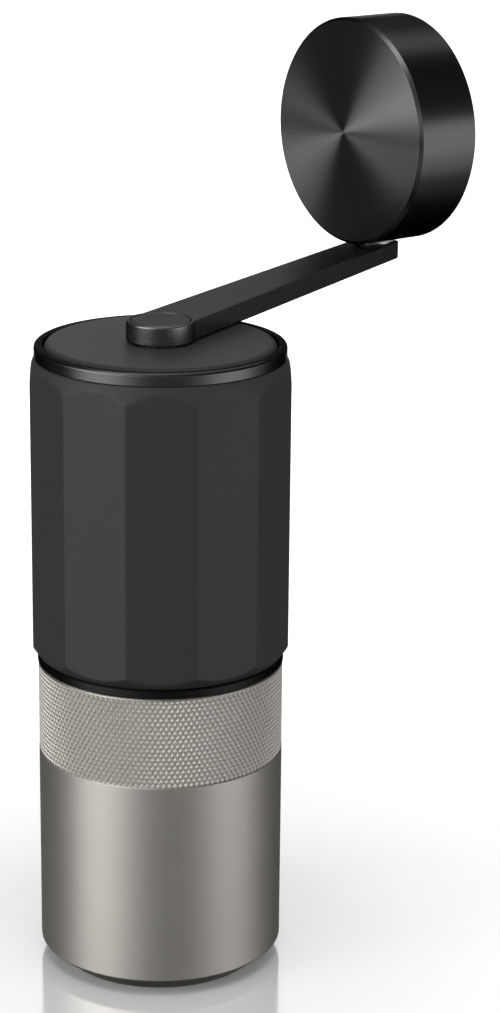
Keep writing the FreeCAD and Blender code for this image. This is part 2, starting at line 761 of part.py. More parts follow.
def hub_screw(gap=0.0):
    """Screw from the hub into the socket, under the cap."""
    length = CAP_LOW - SOCKET_BOTTOM - HUB_SCREW_SHORT
    return moved(screw(CRANK_SCREW_DIAMETER, CRANK_SCREW_HEAD, length, gap), 0, 0, CAP_LOW)


def spindle_screw(gap=0.0):
    """Screw from under the arm into the spindle."""
    shape = screw(CRANK_SCREW_DIAMETER, CRANK_SCREW_HEAD, SPINDLE_SCREW_LENGTH, gap)
    return moved(turned(shape, 180, axis=ACROSS), CRANK_REACH, 0, ARM_LOW)


def crank_arm():
    """Flat bar that tapers from a round hub to a square end."""
    end = CRANK_REACH + ARM_OVERHANG
    root = ARM_ROOT_WIDTH / 2
    tip = ARM_TIP_WIDTH / 2
    sides = [(0, -root), (end, -tip), (end, tip), (0, root), (0, -root)]
    outline = Part.makePolygon([FreeCAD.Vector(x, y, ARM_LOW) for x, y in sides])
    bar = Part.Face(outline).extrude(FreeCAD.Vector(0, 0, ARM_THICKNESS))
    corners = []
    for edge in bar.Edges:
        box = edge.BoundBox
        if box.XMin > CRANK_REACH and abs(box.ZLength - ARM_THICKNESS) < 1e-4:
            corners.append(edge)
    bar = bar.makeFillet(ARM_TIP_ROUND, corners)
    arm = bar.fuse(disc(HUB_DIAMETER / 2, ARM_LOW, ARM_TOP)).removeSplitter()
    arm = arm.makeChamfer(ARM_BREAK, outer_edges(arm, ARM_TOP) + outer_edges(arm, ARM_LOW))
    cap_recess = disc(HUB_CAP_DIAMETER / 2 + FIT, CAP_LOW, ARM_TOP)
    key_hole = prism(6, SOCKET_KEY_HEX + 2 * FIT, ARM_LOW, KEY_TOP + FIT)
    root_low = ARM_TOP - SPINDLE_ROOT_LENGTH
    spindle_hole = moved(disc(SPINDLE_ROOT_DIAMETER / 2 + FIT, root_low, ARM_TOP), CRANK_REACH, 0, 0)
    return arm.cut([cap_recess, key_hole, hub_screw(FIT), spindle_hole, spindle_screw(FIT)])


def crank_socket():
    """Steel socket under the hub, with a hex hole that fits the shaft."""
    barrel = disc(SOCKET_RADIUS, SOCKET_LOW, ARM_LOW)
    key = prism(6, SOCKET_KEY_HEX, ARM_LOW, KEY_TOP)
    hole = prism(6, SHAFT_HEX + 2 * RUN, SOCKET_LOW, SOCKET_BOTTOM)
    return barrel.fuse(key).cut([hole, hub_screw(FIT)])


def hub_cap():
    """Round cap let into the top of the hub."""
    radius = HUB_CAP_DIAMETER / 2
    cap = disc(radius, CAP_LOW, ARM_TOP)
    return cap.makeChamfer(HUB_CAP_BREAK, rims(cap, radius, ARM_TOP))


def knob_spindle():
    """Upright pin at the arm's end that the knob turns on."""
    root = SPINDLE_ROOT_DIAMETER / 2
    flange = SPINDLE_FLANGE_DIAMETER / 2
    root_low = ARM_TOP - SPINDLE_ROOT_LENGTH
    pin = lathe([
        (0, root_low),
        (root, root_low),
        (root, ARM_TOP),
        (flange, ARM_TOP),
        (flange, KNOB_LOW),
        (SPINDLE_RADIUS, KNOB_LOW),
        (SPINDLE_RADIUS, CLIP_LOW),
        (CLIP_SEAT, CLIP_LOW),
        (CLIP_SEAT, CLIP_TOP),
        (SPINDLE_RADIUS, CLIP_TOP),
        (SPINDLE_RADIUS, SPINDLE_TOP),
        (0, SPINDLE_TOP),
    ])
    return moved(pin, CRANK_REACH, 0, 0).cut(spindle_screw(FIT))


def spindle_clip():
    """Open ring in the spindle's groove that keeps the knob on."""
    radius = CLIP_DIAMETER / 2
    body = ring(CLIP_SEAT + FIT, radius, CLIP_LOW + FIT, CLIP_TOP - FIT)
    corner = FreeCAD.Vector(0, -CLIP_MOUTH / 2, CLIP_LOW)
    mouth = Part.makeBox(LONG, CLIP_MOUTH, CLIP_HEIGHT, corner)
    return moved(body.cut(mouth), CRANK_REACH, 0, 0)


def knob_disc(radius, start, end):
    """Round bar lying along X through the middle of the knob."""
    return Part.makeCylinder(radius, end - start, FreeCAD.Vector(start, 0, KNOB_MIDDLE), ACROSS)


def place_knob(shape):
    """Put a piece of the knob on the spindle, turned as the knob stands at rest."""
    return moved(turned(shape, KNOB_ANGLE), CRANK_REACH, 0, 0)


def knob_shell():
    """Turned knob, a disc on its edge, hollow from behind."""
    half = KNOB_THICKNESS / 2
    shell = knob_disc(KNOB_RADIUS, -half, half)
    rounds = [edge for edge in shell.Edges if isinstance(edge.Curve, Part.Circle)]
    shell = shell.makeChamfer(KNOB_CHAMFER, rounds)
    cavity = knob_disc(CAVITY_RADIUS, -half + KNOB_FACE, half)
    hole = disc(BUSH_RADIUS + FIT, KNOB_LOW, KNOB_MIDDLE)
    flange_room = disc(BUSH_FLANGE_RADIUS + FIT, KNOB_LOW, BUSH_LOW + BUSH_FLANGE_HEIGHT + FIT)
    return place_knob(shell.cut([cavity, hole, flange_room]))


def knob_back_plate():
    """Disc that closes the back of the knob."""
    half = KNOB_THICKNESS / 2
    return place_knob(knob_disc(CAVITY_RADIUS - FIT, half - KNOB_FACE, half))


def knob_core():
    """Block inside the knob that holds the bush."""
    depth = KNOB_THICKNESS - 2 * KNOB_FACE - 2 * FIT
    low = KNOB_MIDDLE - CAVITY_RADIUS
    corner = FreeCAD.Vector(-depth / 2, -KNOB_CORE_WIDTH / 2, low)
    block = Part.makeBox(depth, KNOB_CORE_WIDTH, KNOB_CORE_HEIGHT, corner)
    block = block.common(knob_disc(CAVITY_RADIUS - FIT, -KNOB_THICKNESS, KNOB_THICKNESS))
    return place_knob(block.cut(disc(BUSH_RADIUS + FIT, low, SPINDLE_TOP + CLEAR)))


def knob_bush():
    """Flanged bush pressed into the knob, which turns on the spindle."""
    bush = lathe([
        (BUSH_BORE, BUSH_LOW),
        (BUSH_FLANGE_RADIUS, BUSH_LOW),
        (BUSH_FLANGE_RADIUS, BUSH_LOW + BUSH_FLANGE_HEIGHT),
        (BUSH_RADIUS, BUSH_LOW + BUSH_FLANGE_HEIGHT),
        (BUSH_RADIUS, BUSH_TOP),
        (BUSH_BORE, BUSH_TOP),
    ])
    return place_knob(bush)


PIECES = [
    catch_cup, body_tube, grip_sleeve, burr_housing, ring_burr, burr_retaining_ring,
    upper_bridge, lower_bridge, upper_bridge_screws, lower_bridge_screws,
    drive_shaft, spring_washer, burr_spring, cone_burr, click_plate,
    adjust_dial, detent_balls, detent_springs, hopper_lid, lid_seal,
    crank_arm, crank_socket, hub_screw, hub_cap,
    knob_spindle, spindle_screw, spindle_clip,
    knob_shell, knob_back_plate, knob_core, knob_bush,
]


def build():
    """All pieces of the grinder by name."""
    shapes = {piece.__name__: piece() for piece in PIECES}
    shapes.update(bearing("upper_bearing", UPPER_BEARING))
    shapes.update(bearing("lower_bearing", LOWER_BEARING))
    return shapes


if __name__ == "__main__":
    os.makedirs("parts", exist_ok=True)
    for name, shape in build().items():
        shape.exportStep("parts/" + name + ".step")
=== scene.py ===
"""Looks of a hand crank coffee grinder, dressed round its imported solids.

Sizes are in millimetres, in the frame of the solids: the origin is the middle of the
cup's foot, +Z runs up the shaft and the crank points along +X. Meshes are in metres.
"""
import logging
import math
from dataclasses import dataclass
from enum import Enum
from typing import Callable, Optional, Sequence

import bmesh
import bpy
from mathutils import Matrix, Vector


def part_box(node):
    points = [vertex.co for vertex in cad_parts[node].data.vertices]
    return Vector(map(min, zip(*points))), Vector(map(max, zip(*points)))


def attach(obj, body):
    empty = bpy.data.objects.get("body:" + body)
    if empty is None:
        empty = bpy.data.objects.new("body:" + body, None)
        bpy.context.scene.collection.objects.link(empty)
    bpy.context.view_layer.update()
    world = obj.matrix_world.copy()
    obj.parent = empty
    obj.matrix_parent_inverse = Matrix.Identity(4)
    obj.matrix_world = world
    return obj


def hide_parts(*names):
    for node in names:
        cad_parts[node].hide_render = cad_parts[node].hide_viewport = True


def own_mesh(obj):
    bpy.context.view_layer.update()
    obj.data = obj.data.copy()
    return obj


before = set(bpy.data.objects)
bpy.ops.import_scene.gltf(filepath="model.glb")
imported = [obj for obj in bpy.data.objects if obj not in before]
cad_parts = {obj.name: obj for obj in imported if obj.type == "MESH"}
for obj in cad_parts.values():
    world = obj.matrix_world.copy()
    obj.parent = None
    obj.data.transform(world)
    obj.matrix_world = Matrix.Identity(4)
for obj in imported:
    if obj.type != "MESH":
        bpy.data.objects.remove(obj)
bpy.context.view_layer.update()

LOG = logging.getLogger("grinder")
MM = 0.001
UV_NAME = "turned"
UV_SPAN = 100.0         # millimetres along an outline for one unit of its UV map
SUPPORT = 0.04          # millimetres from a round to the row of points that keeps a flat flat
ARC_STEP = 14.0         # degrees of a round between two rows of points
QUARTER_STEPS = 6       # faces across a quarter round
POLE_RADIUS = 1e-6      # millimetres of radius up to which a row of points is one point
SMALL_SEGMENTS = 128    # faces round a small turned piece
SEGMENTS = 192          # faces round most turned pieces
FINE_SEGMENTS = 256     # faces round a turned piece whose outer edge shows large
SMOOTH_ANGLE = 24.0     # degrees between two faces above which their edge stays sharp
DIAMOND_TIP = 0.17      # half width of a knurl's flat tip, where its foot is one unit wide
NOISE_LOW = 0.3         # noise mostly keeps between this level and the next
NOISE_HIGH = 0.7
FINE_DETAIL = 2.0       # octaves of the noise in fine marks
PATCH_DETAIL = 3.0      # octaves of the noise in patches of colour
ACROSS_RINGS = 0.25     # part of a turn that lays a stretched highlight across turning rings

Corner = tuple[float, float, float]    # across, up and rounding, in millimetres
Point = tuple[float, float]
Colour = tuple[float, float, float, float]


def linear(code: str) -> Colour:
    """Turn an sRGB hex colour into linear red, green and blue with full alpha."""
    channels = (int(code[start:start + 2], 16) / 255 for start in (1, 3, 5))
    return (*(c / 12.92 if c <= 0.04045 else ((c + 0.055) / 1.055) ** 2.4 for c in channels), 1.0)


def add_node(tree: bpy.types.NodeTree, kind: str, inputs: Optional[dict] = None,
             stops: Sequence[Point] = (), **settings: object) -> bpy.types.Node:
    """Add a node with its settings and links.

    Args:
        tree: the tree that gets the node.
        kind: the node's type name.
        inputs: what goes into each input, a value or another node's output.
        stops: place and grey level of each stop, where the node is a ramp.
        settings: the node's own properties.

    Returns:
        The new node.
    """
    node = tree.nodes.new(kind)
    for name, value in settings.items():
        setattr(node, name, value)
    for key, value in (inputs or {}).items():
        if isinstance(value, bpy.types.NodeSocket):
            tree.links.new(value, node.inputs[key])
        else:
            node.inputs[key].default_value = value
    for _ in stops[2:]:
        node.color_ramp.elements.new(0.5)
    for index, (place, level) in enumerate(stops):
        node.color_ramp.elements[index].position = place
        node.color_ramp.elements[index].color = (level, level, level, 1.0)
    return node


def new_material(name: str) -> bpy.types.Material:
    """Make a material with an empty node tree.

    Args:
        name: name of the material.

    Returns:
        The new material.
    """
    material = bpy.data.materials.new(name)
    material.use_nodes = True
    material.node_tree.nodes.clear()
    return material


# Finishes


class Lay(Enum):
    """Direction of the marks that making a surface leaves on it."""

    EVEN = "blasted, moulded or tumbled, the same in every direction"
    TURNED = "cut on a lathe, in fine rings round the axis"


@dataclass(frozen=True)
class Finish:
    """A real material with the surface that its making gave it.

    Attributes:
        name: the material and how it was made.
        colour, shade: sRGB colours that drift into each other over the surface.
        metallic, roughness: shader values.
        spread: how far the roughness strays from its middle value.
        grain: size of the fine marks, in millimetres.
        relief: depth of the fine marks, in millimetres.
        drift: size of the patches of colour, in millimetres.
        lay: direction of the fine marks.
        stretch: how far turned marks draw out a highlight.
        gleam: strength of the gleam, at the edges of a metal and all over anything else.
    """

    name: str
    colour: str
    shade: str
    metallic: float
    roughness: float
    spread: float
    grain: float
    relief: float
    drift: float = 14.0
    lay: Lay = Lay.EVEN
    stretch: float = 0.0
    gleam: float = 0.5

    def make(self) -> bpy.types.Material:
        """Give the node material of this finish, made on its first use.

        Returns:
            The material, shared by all the pieces of this finish.
        """
        known = bpy.data.materials.get(self.name)
        if known:
            return known
        material = new_material(self.name)
        tree = material.node_tree
        place = add_node(tree, "ShaderNodeTexCoord").outputs["Object"]
        marks = self.marks(tree, place)
        patches = add_node(tree, "ShaderNodeTexNoise",
                           {"Vector": place, "Scale": 1 / (self.drift * MM), "Detail": PATCH_DETAIL})
        colour = add_node(tree, "ShaderNodeMix", data_type="RGBA", inputs={
            0: patches.outputs[0], 6: linear(self.colour), 7: linear(self.shade)})
        rough = add_node(tree, "ShaderNodeMapRange", {
            0: marks, 1: NOISE_LOW, 2: NOISE_HIGH,
            3: self.roughness - self.spread, 4: self.roughness + self.spread})
        bump = add_node(tree, "ShaderNodeBump",
                        {"Height": marks, "Strength": 1.0, "Distance": self.relief * MM})
        shader = add_node(tree, "ShaderNodeBsdfPrincipled", {
            "Base Color": colour.outputs[2], "Metallic": self.metallic,
            "Roughness": rough.outputs[0], "Normal": bump.outputs[0]})
        if self.metallic:
            shader.inputs["Specular Tint"].default_value = (self.gleam, self.gleam, self.gleam, 1.0)
        else:
            shader.inputs["Specular IOR Level"].default_value = self.gleam
        if self.stretch:
            tangent = add_node(tree, "ShaderNodeTangent", direction_type="UV_MAP", uv_map=UV_NAME)
            tree.links.new(tangent.outputs[0], shader.inputs["Tangent"])
            shader.inputs["Anisotropic"].default_value = self.stretch
            shader.inputs["Anisotropic Rotation"].default_value = ACROSS_RINGS
        add_node(tree, "ShaderNodeOutputMaterial", {"Surface": shader.outputs[0]})
        return material

    def marks(self, tree: bpy.types.NodeTree, place: bpy.types.NodeSocket) -> bpy.types.NodeSocket:
        """Add the fine marks of the surface.

        Args:
            tree: the material's node tree.
            place: output with the Object coordinates.

        Returns:
            The output that runs from 0 in the marks to 1 between them.
        """
        if self.lay is Lay.TURNED:
            split = add_node(tree, "ShaderNodeSeparateXYZ",
                             {0: add_node(tree, "ShaderNodeUVMap", uv_map=UV_NAME).outputs[0]})
            rings = add_node(tree, "ShaderNodeTexNoise", noise_dimensions="1D", inputs={
                "W": split.outputs["Y"], "Scale": UV_SPAN / self.grain, "Detail": FINE_DETAIL})
            return rings.outputs[0]
        grain = add_node(tree, "ShaderNodeTexNoise",
                         {"Vector": place, "Scale": 1 / (self.grain * MM), "Detail": FINE_DETAIL})
        return grain.outputs[0]


# Glass beads leave a fine even matte on aluminium, and a pale anodised layer warms its
# grey. The real pits are near 0.05 mm, too fine to show, so they are drawn at 0.3 mm.
BLASTED_ALUMINIUM = Finish("bead_blasted_anodised_aluminium", "#C6C2BC", "#BEBAB3",
                           1.0, 0.45, 0.04, grain=0.3, relief=0.010)
# Blasting roughens the many small edges of a knurl most, so it scatters light like chalk.
KNURLED_ALUMINIUM = Finish("knurled_blasted_anodised_aluminium", "#C6C2BB", "#BBB7B0",
                           0.55, 0.50, 0.04, grain=0.3, relief=0.004)
# Dyed black anodising over blasted aluminium: dark, but with a satin metal gleam.
BLACK_ALUMINIUM = Finish("satin_black_anodised_aluminium", "#606060", "#585858",
                         1.0, 0.24, 0.015, grain=0.3, relief=0.0008, gleam=0.15)
# The arm is blasted more coarsely before its black anodising, so it is greyer and duller.
ARM_ALUMINIUM = Finish("blasted_black_anodised_aluminium", "#828282", "#787878",
                       1.0, 0.27, 0.015, grain=0.35, relief=0.0006, gleam=0.2)
# Hard anodising is thicker and swallows more light, so the housing is nearly black.
HARD_ALUMINIUM = Finish("hard_anodised_aluminium", "#2C2C2B", "#262625",
                        1.0, 0.36, 0.04, grain=0.3, relief=0.003, gleam=0.2)
# Fine turning rings under black anodising draw highlights out into wedges. The real feed
# is near 0.1 mm a turn, too fine to show, so the rings are drawn 0.35 mm apart.
TURNED_BLACK_ALUMINIUM = Finish("turned_black_anodised_aluminium", "#7A7A7A", "#727272",
                                1.0, 0.36, 0.015, grain=0.35, relief=0.0004,
                                lay=Lay.TURNED, stretch=0.96, gleam=0.15)
# Moulded silicone rubber: nearly black, dull and a little velvety from a spark-eroded mould.
SILICONE = Finish("moulded_black_silicone_rubber", "#252526", "#2A2A2B",
                  0.0, 0.58, 0.05, grain=0.4, relief=0.012, drift=22.0)
# Moulded ABS with a fine texture: dull black with a soft sheen at a low angle.
BLACK_ABS = Finish("moulded_black_abs", "#2A2A2A", "#2F2F2F",
                   0.0, 0.55, 0.05, grain=0.4, relief=0.008, gleam=0.10)
# Burrs and shaft are ground after hardening: bright grey with a fine scratchy gleam.
GROUND_STEEL = Finish("ground_hardened_stainless_steel", "#B9B8B5", "#A9A8A6",
                      1.0, 0.28, 0.07, grain=0.25, relief=0.003)
# Balls and races are lapped to a mirror, with only a breath of haze.
LAPPED_STEEL = Finish("lapped_bearing_steel", "#C8C8C8", "#C0C0C1",
                      1.0, 0.10, 0.03, grain=0.5, relief=0.0005)
# Cold drawn spring wire: grey, with dull streaks left by the die.
SPRING_STEEL = Finish("drawn_spring_steel_wire", "#9D9C9A", "#8B8A88",
                      1.0, 0.34, 0.06, grain=0.3, relief=0.004)
# Milled and tumbled aluminium: pale, with an even soft grain.
MILLED_ALUMINIUM = Finish("milled_tumbled_aluminium", "#B4B3B0", "#A8A7A4",
                          1.0, 0.36, 0.06, grain=0.4, relief=0.005)
# Natural acetal resin: milky white, waxy and smooth.
ACETAL = Finish("machined_natural_acetal", "#DEDAD0", "#D6D2C7",
                0.0, 0.38, 0.05, grain=0.3, relief=0.003)
# Black paint wiped into engraved marks.
MARK_PAINT = Finish("black_engraving_paint", "#161616", "#1D1D1D",
                    0.0, 0.55, 0.05, grain=0.3, relief=0.004)


# Mesh tools


def smooth(mesh: bpy.types.Mesh, angle: float = SMOOTH_ANGLE) -> bpy.types.Mesh:
    """Shade a mesh smooth.

    Args:
        mesh: the mesh.
        angle: degrees between two faces above which their edge stays sharp.

    Returns:
        The same mesh.
    """
    mesh.shade_smooth()
    mesh.set_sharp_from_angle(angle=math.radians(angle))
    return mesh


def quarter_round(size: float) -> list[Point]:
    """Give a quarter round, as how far each point is in from the side and in from the face."""
    turns = [math.pi / 2 * step / QUARTER_STEPS for step in range(QUARTER_STEPS + 1)]
    return [(size * (1 - math.sin(turn)), size * (1 - math.cos(turn))) for turn in turns]


def rounded(corners: Sequence[Corner]) -> list[Point]:
    """Round the corners of a closed outline.

    Args:
        corners: across, up and rounding of each corner, in millimetres.

    Returns:
        The points of the outline, with a supporting point beside each round.
    """
    points: list[Point] = []
    for index, (across, up, rounding) in enumerate(corners):
        here = Vector((across, up))
        if rounding <= 0:
            points.append((across, up))
            continue
        back = (Vector(corners[index - 1][:2]) - here).normalized()
        on = (Vector(corners[(index + 1) % len(corners)][:2]) - here).normalized()
        inside = back.angle(on)
        reach = rounding / math.tan(inside / 2)
        centre = here + (back + on).normalized() * (rounding / math.sin(inside / 2))
        first, last = here + back * reach - centre, here + on * reach - centre
        turn = math.copysign(math.pi - inside, first.x * last.y - first.y * last.x)
        steps = max(2, math.ceil(math.degrees(abs(turn)) / ARC_STEP))
        points.append(tuple(here + back * (reach + SUPPORT)))
        for step in range(steps + 1):
            points.append(tuple(centre + Matrix.Rotation(turn * step / steps, 2) @ first))
        points.append(tuple(here + on * (reach + SUPPORT)))
    return points


def skin(name: str, rows: Sequence[Sequence[Vector]], lengths: Sequence[float],
         place: Optional[Matrix] = None) -> bpy.types.Mesh:
    """Close a shell over rows of points that each go once round it.

    Args:
        name: name of the mesh.
        rows: the rows, in order and as many points in each, in millimetres. A row of
            one point is a pole. The last row joins the first, unless both are poles.
        lengths: distance of each row along the outline, in millimetres.
        place: where the shell goes, if not where its points are.

    Returns:
        A smooth mesh with a UV map that runs round the shell and along its outline.
    """
    shell = bmesh.new()
    uv = shell.loops.layers.uv.new(UV_NAME)
    count = max(len(row) for row in rows)
    rings = [[shell.verts.new(point * MM) for point in row] for row in rows]
    spans = list(zip(rings, lengths))
    for (low, start), (high, end) in zip(spans, spans[1:] + spans[:1]):
        if len(low) == 1 and len(high) == 1:
            continue
        for step in range(count):
            on = (step + 1) % count
            if len(low) == 1:
                ring = [(low[0], step + 0.5, start), (high[on], step + 1, end), (high[step], step, end)]
            elif len(high) == 1:
                ring = [(low[step], step, start), (low[on], step + 1, start), (high[0], step + 0.5, end)]
            else:
                ring = [(low[step], step, start), (low[on], step + 1, start),
                        (high[on], step + 1, end), (high[step], step, end)]
            face = shell.faces.new([corner[0] for corner in ring])
            for loop, (_, turn, length) in zip(face.loops, ring):
                loop[uv].uv = (turn / count, length / UV_SPAN)
    bmesh.ops.recalc_face_normals(shell, faces=shell.faces)
    if place:
        bmesh.ops.transform(shell, matrix=place, verts=shell.verts)
    mesh = bpy.data.meshes.new(name)
    shell.to_mesh(mesh)
    shell.free()
    return smooth(mesh)


def turned(name: str, corners: Sequence[Corner], segments: int = SEGMENTS,
           place: Optional[Matrix] = None) -> bpy.types.Mesh:
    """Turn a closed outline about the upright axis.

    Args:
        name: name of the mesh.
        corners: radius, height and rounding of each corner, in millimetres.
        segments: faces round the axis.
        place: where the turned shape goes, if not upright at the origin.

    Returns:
        The turned mesh.
    """
    points = rounded(corners)
    lengths = [0.0]
    for here, there in zip(points, points[1:]):
        lengths.append(lengths[-1] + math.dist(here, there))
    angles = [2 * math.pi * step / segments for step in range(segments)]
    rows = [[Vector((radius * math.cos(a), radius * math.sin(a), height)) for a in angles]
            if radius > POLE_RADIUS else [Vector((0, 0, height))] for radius, height in points]
    return skin(name, rows, lengths, place)


def grown(name: str, tree: bpy.types.NodeTree, values: dict[str, object]) -> bpy.types.Mesh:
    """Run a Geometry Nodes tree and keep its result as a plain mesh.

    Args:
        name: name of the mesh.
        tree: the Geometry Nodes tree.
        values: value of each of the tree's named inputs.

    Returns:
        The mesh, with no modifier left.
    """
    holder = bpy.data.objects.new(f"{name}_holder", bpy.data.meshes.new(f"{name}_empty"))
    bpy.context.scene.collection.objects.link(holder)
    modifier = holder.modifiers.new("pattern", "NODES")
    modifier.node_group = tree
    for item in tree.interface.items_tree:
        if item.in_out == "INPUT":
            modifier[item.identifier] = values[item.name]
    graph = bpy.context.evaluated_depsgraph_get()
    mesh = bpy.data.meshes.new_from_object(holder.evaluated_get(graph))
    mesh.name = name
    holder.modifiers.remove(modifier)
    bpy.data.objects.remove(holder)
    return smooth(mesh)


def new_tree(name: str, inputs: dict[str, str]) -> bpy.types.NodeTree:
    """Start a Geometry Nodes tree.

    Args:
        name: name of the tree.
        inputs: socket type of each named input.

    Returns:
        The tree, with those inputs and one geometry output.
    """
    tree = bpy.data.node_groups.new(name, "GeometryNodeTree")
    for title, kind in inputs.items():
        tree.interface.new_socket(title, in_out="INPUT", socket_type=kind)
    tree.interface.new_socket("Mesh", in_out="OUTPUT", socket_type="NodeSocketGeometry")
    return tree


class Form(Enum):
    """Small form that a ring pattern repeats, one unit in size."""

    DIAMOND = "GeometryNodeMeshCone"
    BAR = "GeometryNodeMeshCube"


@dataclass
class RingPattern:
    """Rows of one small form, set out round the upright axis by Geometry Nodes.

    Each row is turned by half a step from the last, as the two cuts of a knurl leave it.

    Attributes:
        form: the small form.
        count: forms in a row.
        radius: how far out their middles are, in millimetres.
        low: height of the first row, in millimetres.
        size: size of a form outwards, round the axis and upwards, in millimetres.
        rows: number of rows.
        step: height from one row to the next, in millimetres.
    """

    form: Form
    count: int
    radius: float
    low: float
    size: tuple[float, float, float]
    rows: int = 1
    step: float = 0.0

    def tree(self) -> bpy.types.NodeTree:
        """Build the tree, which sets forms out on a ring and piles such rings up.

        Returns:
            A tree with named inputs for the numbers, sizes and material.
        """
        tree = new_tree(f"ring_of_{self.form.name.lower()}s", {
            "Count": "NodeSocketInt", "Rows": "NodeSocketInt", "Radius": "NodeSocketFloat",
            "Low": "NodeSocketFloat", "Step": "NodeSocketFloat", "Size": "NodeSocketVector",
            "Material": "NodeSocketMaterial"})
        given = add_node(tree, "NodeGroupInput").outputs
        circle = add_node(tree, "GeometryNodeMeshCircle",
                          {"Vertices": given["Count"], "Radius": given["Radius"]})
        place = add_node(tree, "GeometryNodeInputPosition").outputs[0]
        outwards = add_node(tree, "FunctionNodeAlignRotationToVector", {"Vector": place},
                            axis="X", pivot_axis="Z")
        ring = add_node(tree, "GeometryNodeInstanceOnPoints", {
            "Points": circle.outputs[0], "Instance": self.unit(tree),
            "Rotation": outwards.outputs[0], "Scale": given["Size"]})
        first = add_node(tree, "ShaderNodeCombineXYZ", {2: given["Low"]})
        rise = add_node(tree, "ShaderNodeCombineXYZ", {2: given["Step"]})
        levels = add_node(tree, "GeometryNodeMeshLine", {
            "Count": given["Rows"], "Start Location": first.outputs[0], "Offset": rise.outputs[0]})
        row = add_node(tree, "GeometryNodeInputIndex").outputs[0]
        half_step = add_node(tree, "ShaderNodeMath", {0: math.pi, 1: given["Count"]}, operation="DIVIDE")
        turn = add_node(tree, "ShaderNodeMath", {0: row, 1: half_step.outputs[0]}, operation="MULTIPLY")
        about = add_node(tree, "ShaderNodeCombineXYZ", {2: turn.outputs[0]})
        spin = add_node(tree, "FunctionNodeEulerToRotation", {0: about.outputs[0]})
        pile = add_node(tree, "GeometryNodeInstanceOnPoints", {
            "Points": levels.outputs[0], "Instance": ring.outputs[0], "Rotation": spin.outputs[0]})
        real = add_node(tree, "GeometryNodeRealizeInstances", {0: pile.outputs[0]})
        painted = add_node(tree, "GeometryNodeSetMaterial",
                           {"Geometry": real.outputs[0], "Material": given["Material"]})
        add_node(tree, "NodeGroupOutput", {0: painted.outputs[0]})
        return tree

    def unit(self, tree: bpy.types.NodeTree) -> bpy.types.NodeSocket:
        """Add the form that the pattern repeats.

        Args:
            tree: the pattern's tree.

        Returns:
            The output with the form, which points along +X.
        """
        sizes = {
            Form.DIAMOND: {"Vertices": 4, "Radius Top": DIAMOND_TIP, "Radius Bottom": 0.5, "Depth": 1.0},
            Form.BAR: {"Size": (1.0, 1.0, 1.0)},
        }[self.form]
        form = add_node(tree, self.form.value, sizes)
        upright = add_node(tree, "GeometryNodeTransform",
                           {"Geometry": form.outputs[0], "Rotation": (0, math.pi / 2, 0)})
        return upright.outputs[0]

    def mesh(self, name: str, finish: Finish) -> bpy.types.Mesh:
        """Run the pattern.

        Args:
            name: name of the mesh.
            finish: finish of the forms.

        Returns:
            The forms as one plain mesh.
        """
        return grown(name, self.tree(), {
            "Count": self.count, "Rows": self.rows, "Radius": self.radius * MM,
            "Low": self.low * MM, "Step": self.step * MM,
            "Size": tuple(side * MM for side in self.size), "Material": finish.make()})


@dataclass
class WireCoil:
    """A round wire wound into a helix by Geometry Nodes.

    Attributes:
        turns: turns of the wire.
        radius: from the axis to the middle of the wire, in millimetres.
        wire: thickness of the wire, in millimetres.
        low: height of the wire's middle at its lower end, in millimetres.
        height: rise of the wire from end to end, in millimetres.
        steps_a_turn: points of the path in each turn.
        steps_round: faces round the wire.
    """

    turns: float
    radius: float
    wire: float
    low: float
    height: float
    steps_a_turn: int = 40
    steps_round: int = 18

    def mesh(self, name: str, finish: Finish) -> bpy.types.Mesh:
        """Wind the coil.

        Args:
            name: name of the mesh.
            finish: finish of the wire.

        Returns:
            The coil as a plain mesh.
        """
        tree = new_tree("wire_coil", {
            "Turns": "NodeSocketFloat", "Radius": "NodeSocketFloat", "Wire": "NodeSocketFloat",
            "Low": "NodeSocketFloat", "Height": "NodeSocketFloat", "Material": "NodeSocketMaterial"})
        given = add_node(tree, "NodeGroupInput").outputs
        path = add_node(tree, "GeometryNodeCurveSpiral", {
            "Resolution": self.steps_a_turn, "Rotations": given["Turns"], "Start Radius": given["Radius"],
            "End Radius": given["Radius"], "Height": given["Height"]})
        section = add_node(tree, "GeometryNodeCurvePrimitiveCircle",
                           {"Resolution": self.steps_round, "Radius": given["Wire"]})
        wound = add_node(tree, "GeometryNodeCurveToMesh", {
            "Curve": path.outputs[0], "Profile Curve": section.outputs[0], "Fill Caps": True})
        lift = add_node(tree, "ShaderNodeCombineXYZ", {2: given["Low"]})
        raised = add_node(tree, "GeometryNodeTransform",
                          {"Geometry": wound.outputs[0], "Translation": lift.outputs[0]})
        real = add_node(tree, "GeometryNodeRealizeInstances", {0: raised.outputs[0]})
        painted = add_node(tree, "GeometryNodeSetMaterial",
                           {"Geometry": real.outputs[0], "Material": given["Material"]})
        add_node(tree, "NodeGroupOutput", {0: painted.outputs[0]})
        return grown(name, tree, {
            "Turns": self.turns, "Radius": self.radius * MM, "Wire": self.wire / 2 * MM,
            "Low": self.low * MM, "Height": self.height * MM, "Material": finish.make()})


# Sub-assemblies


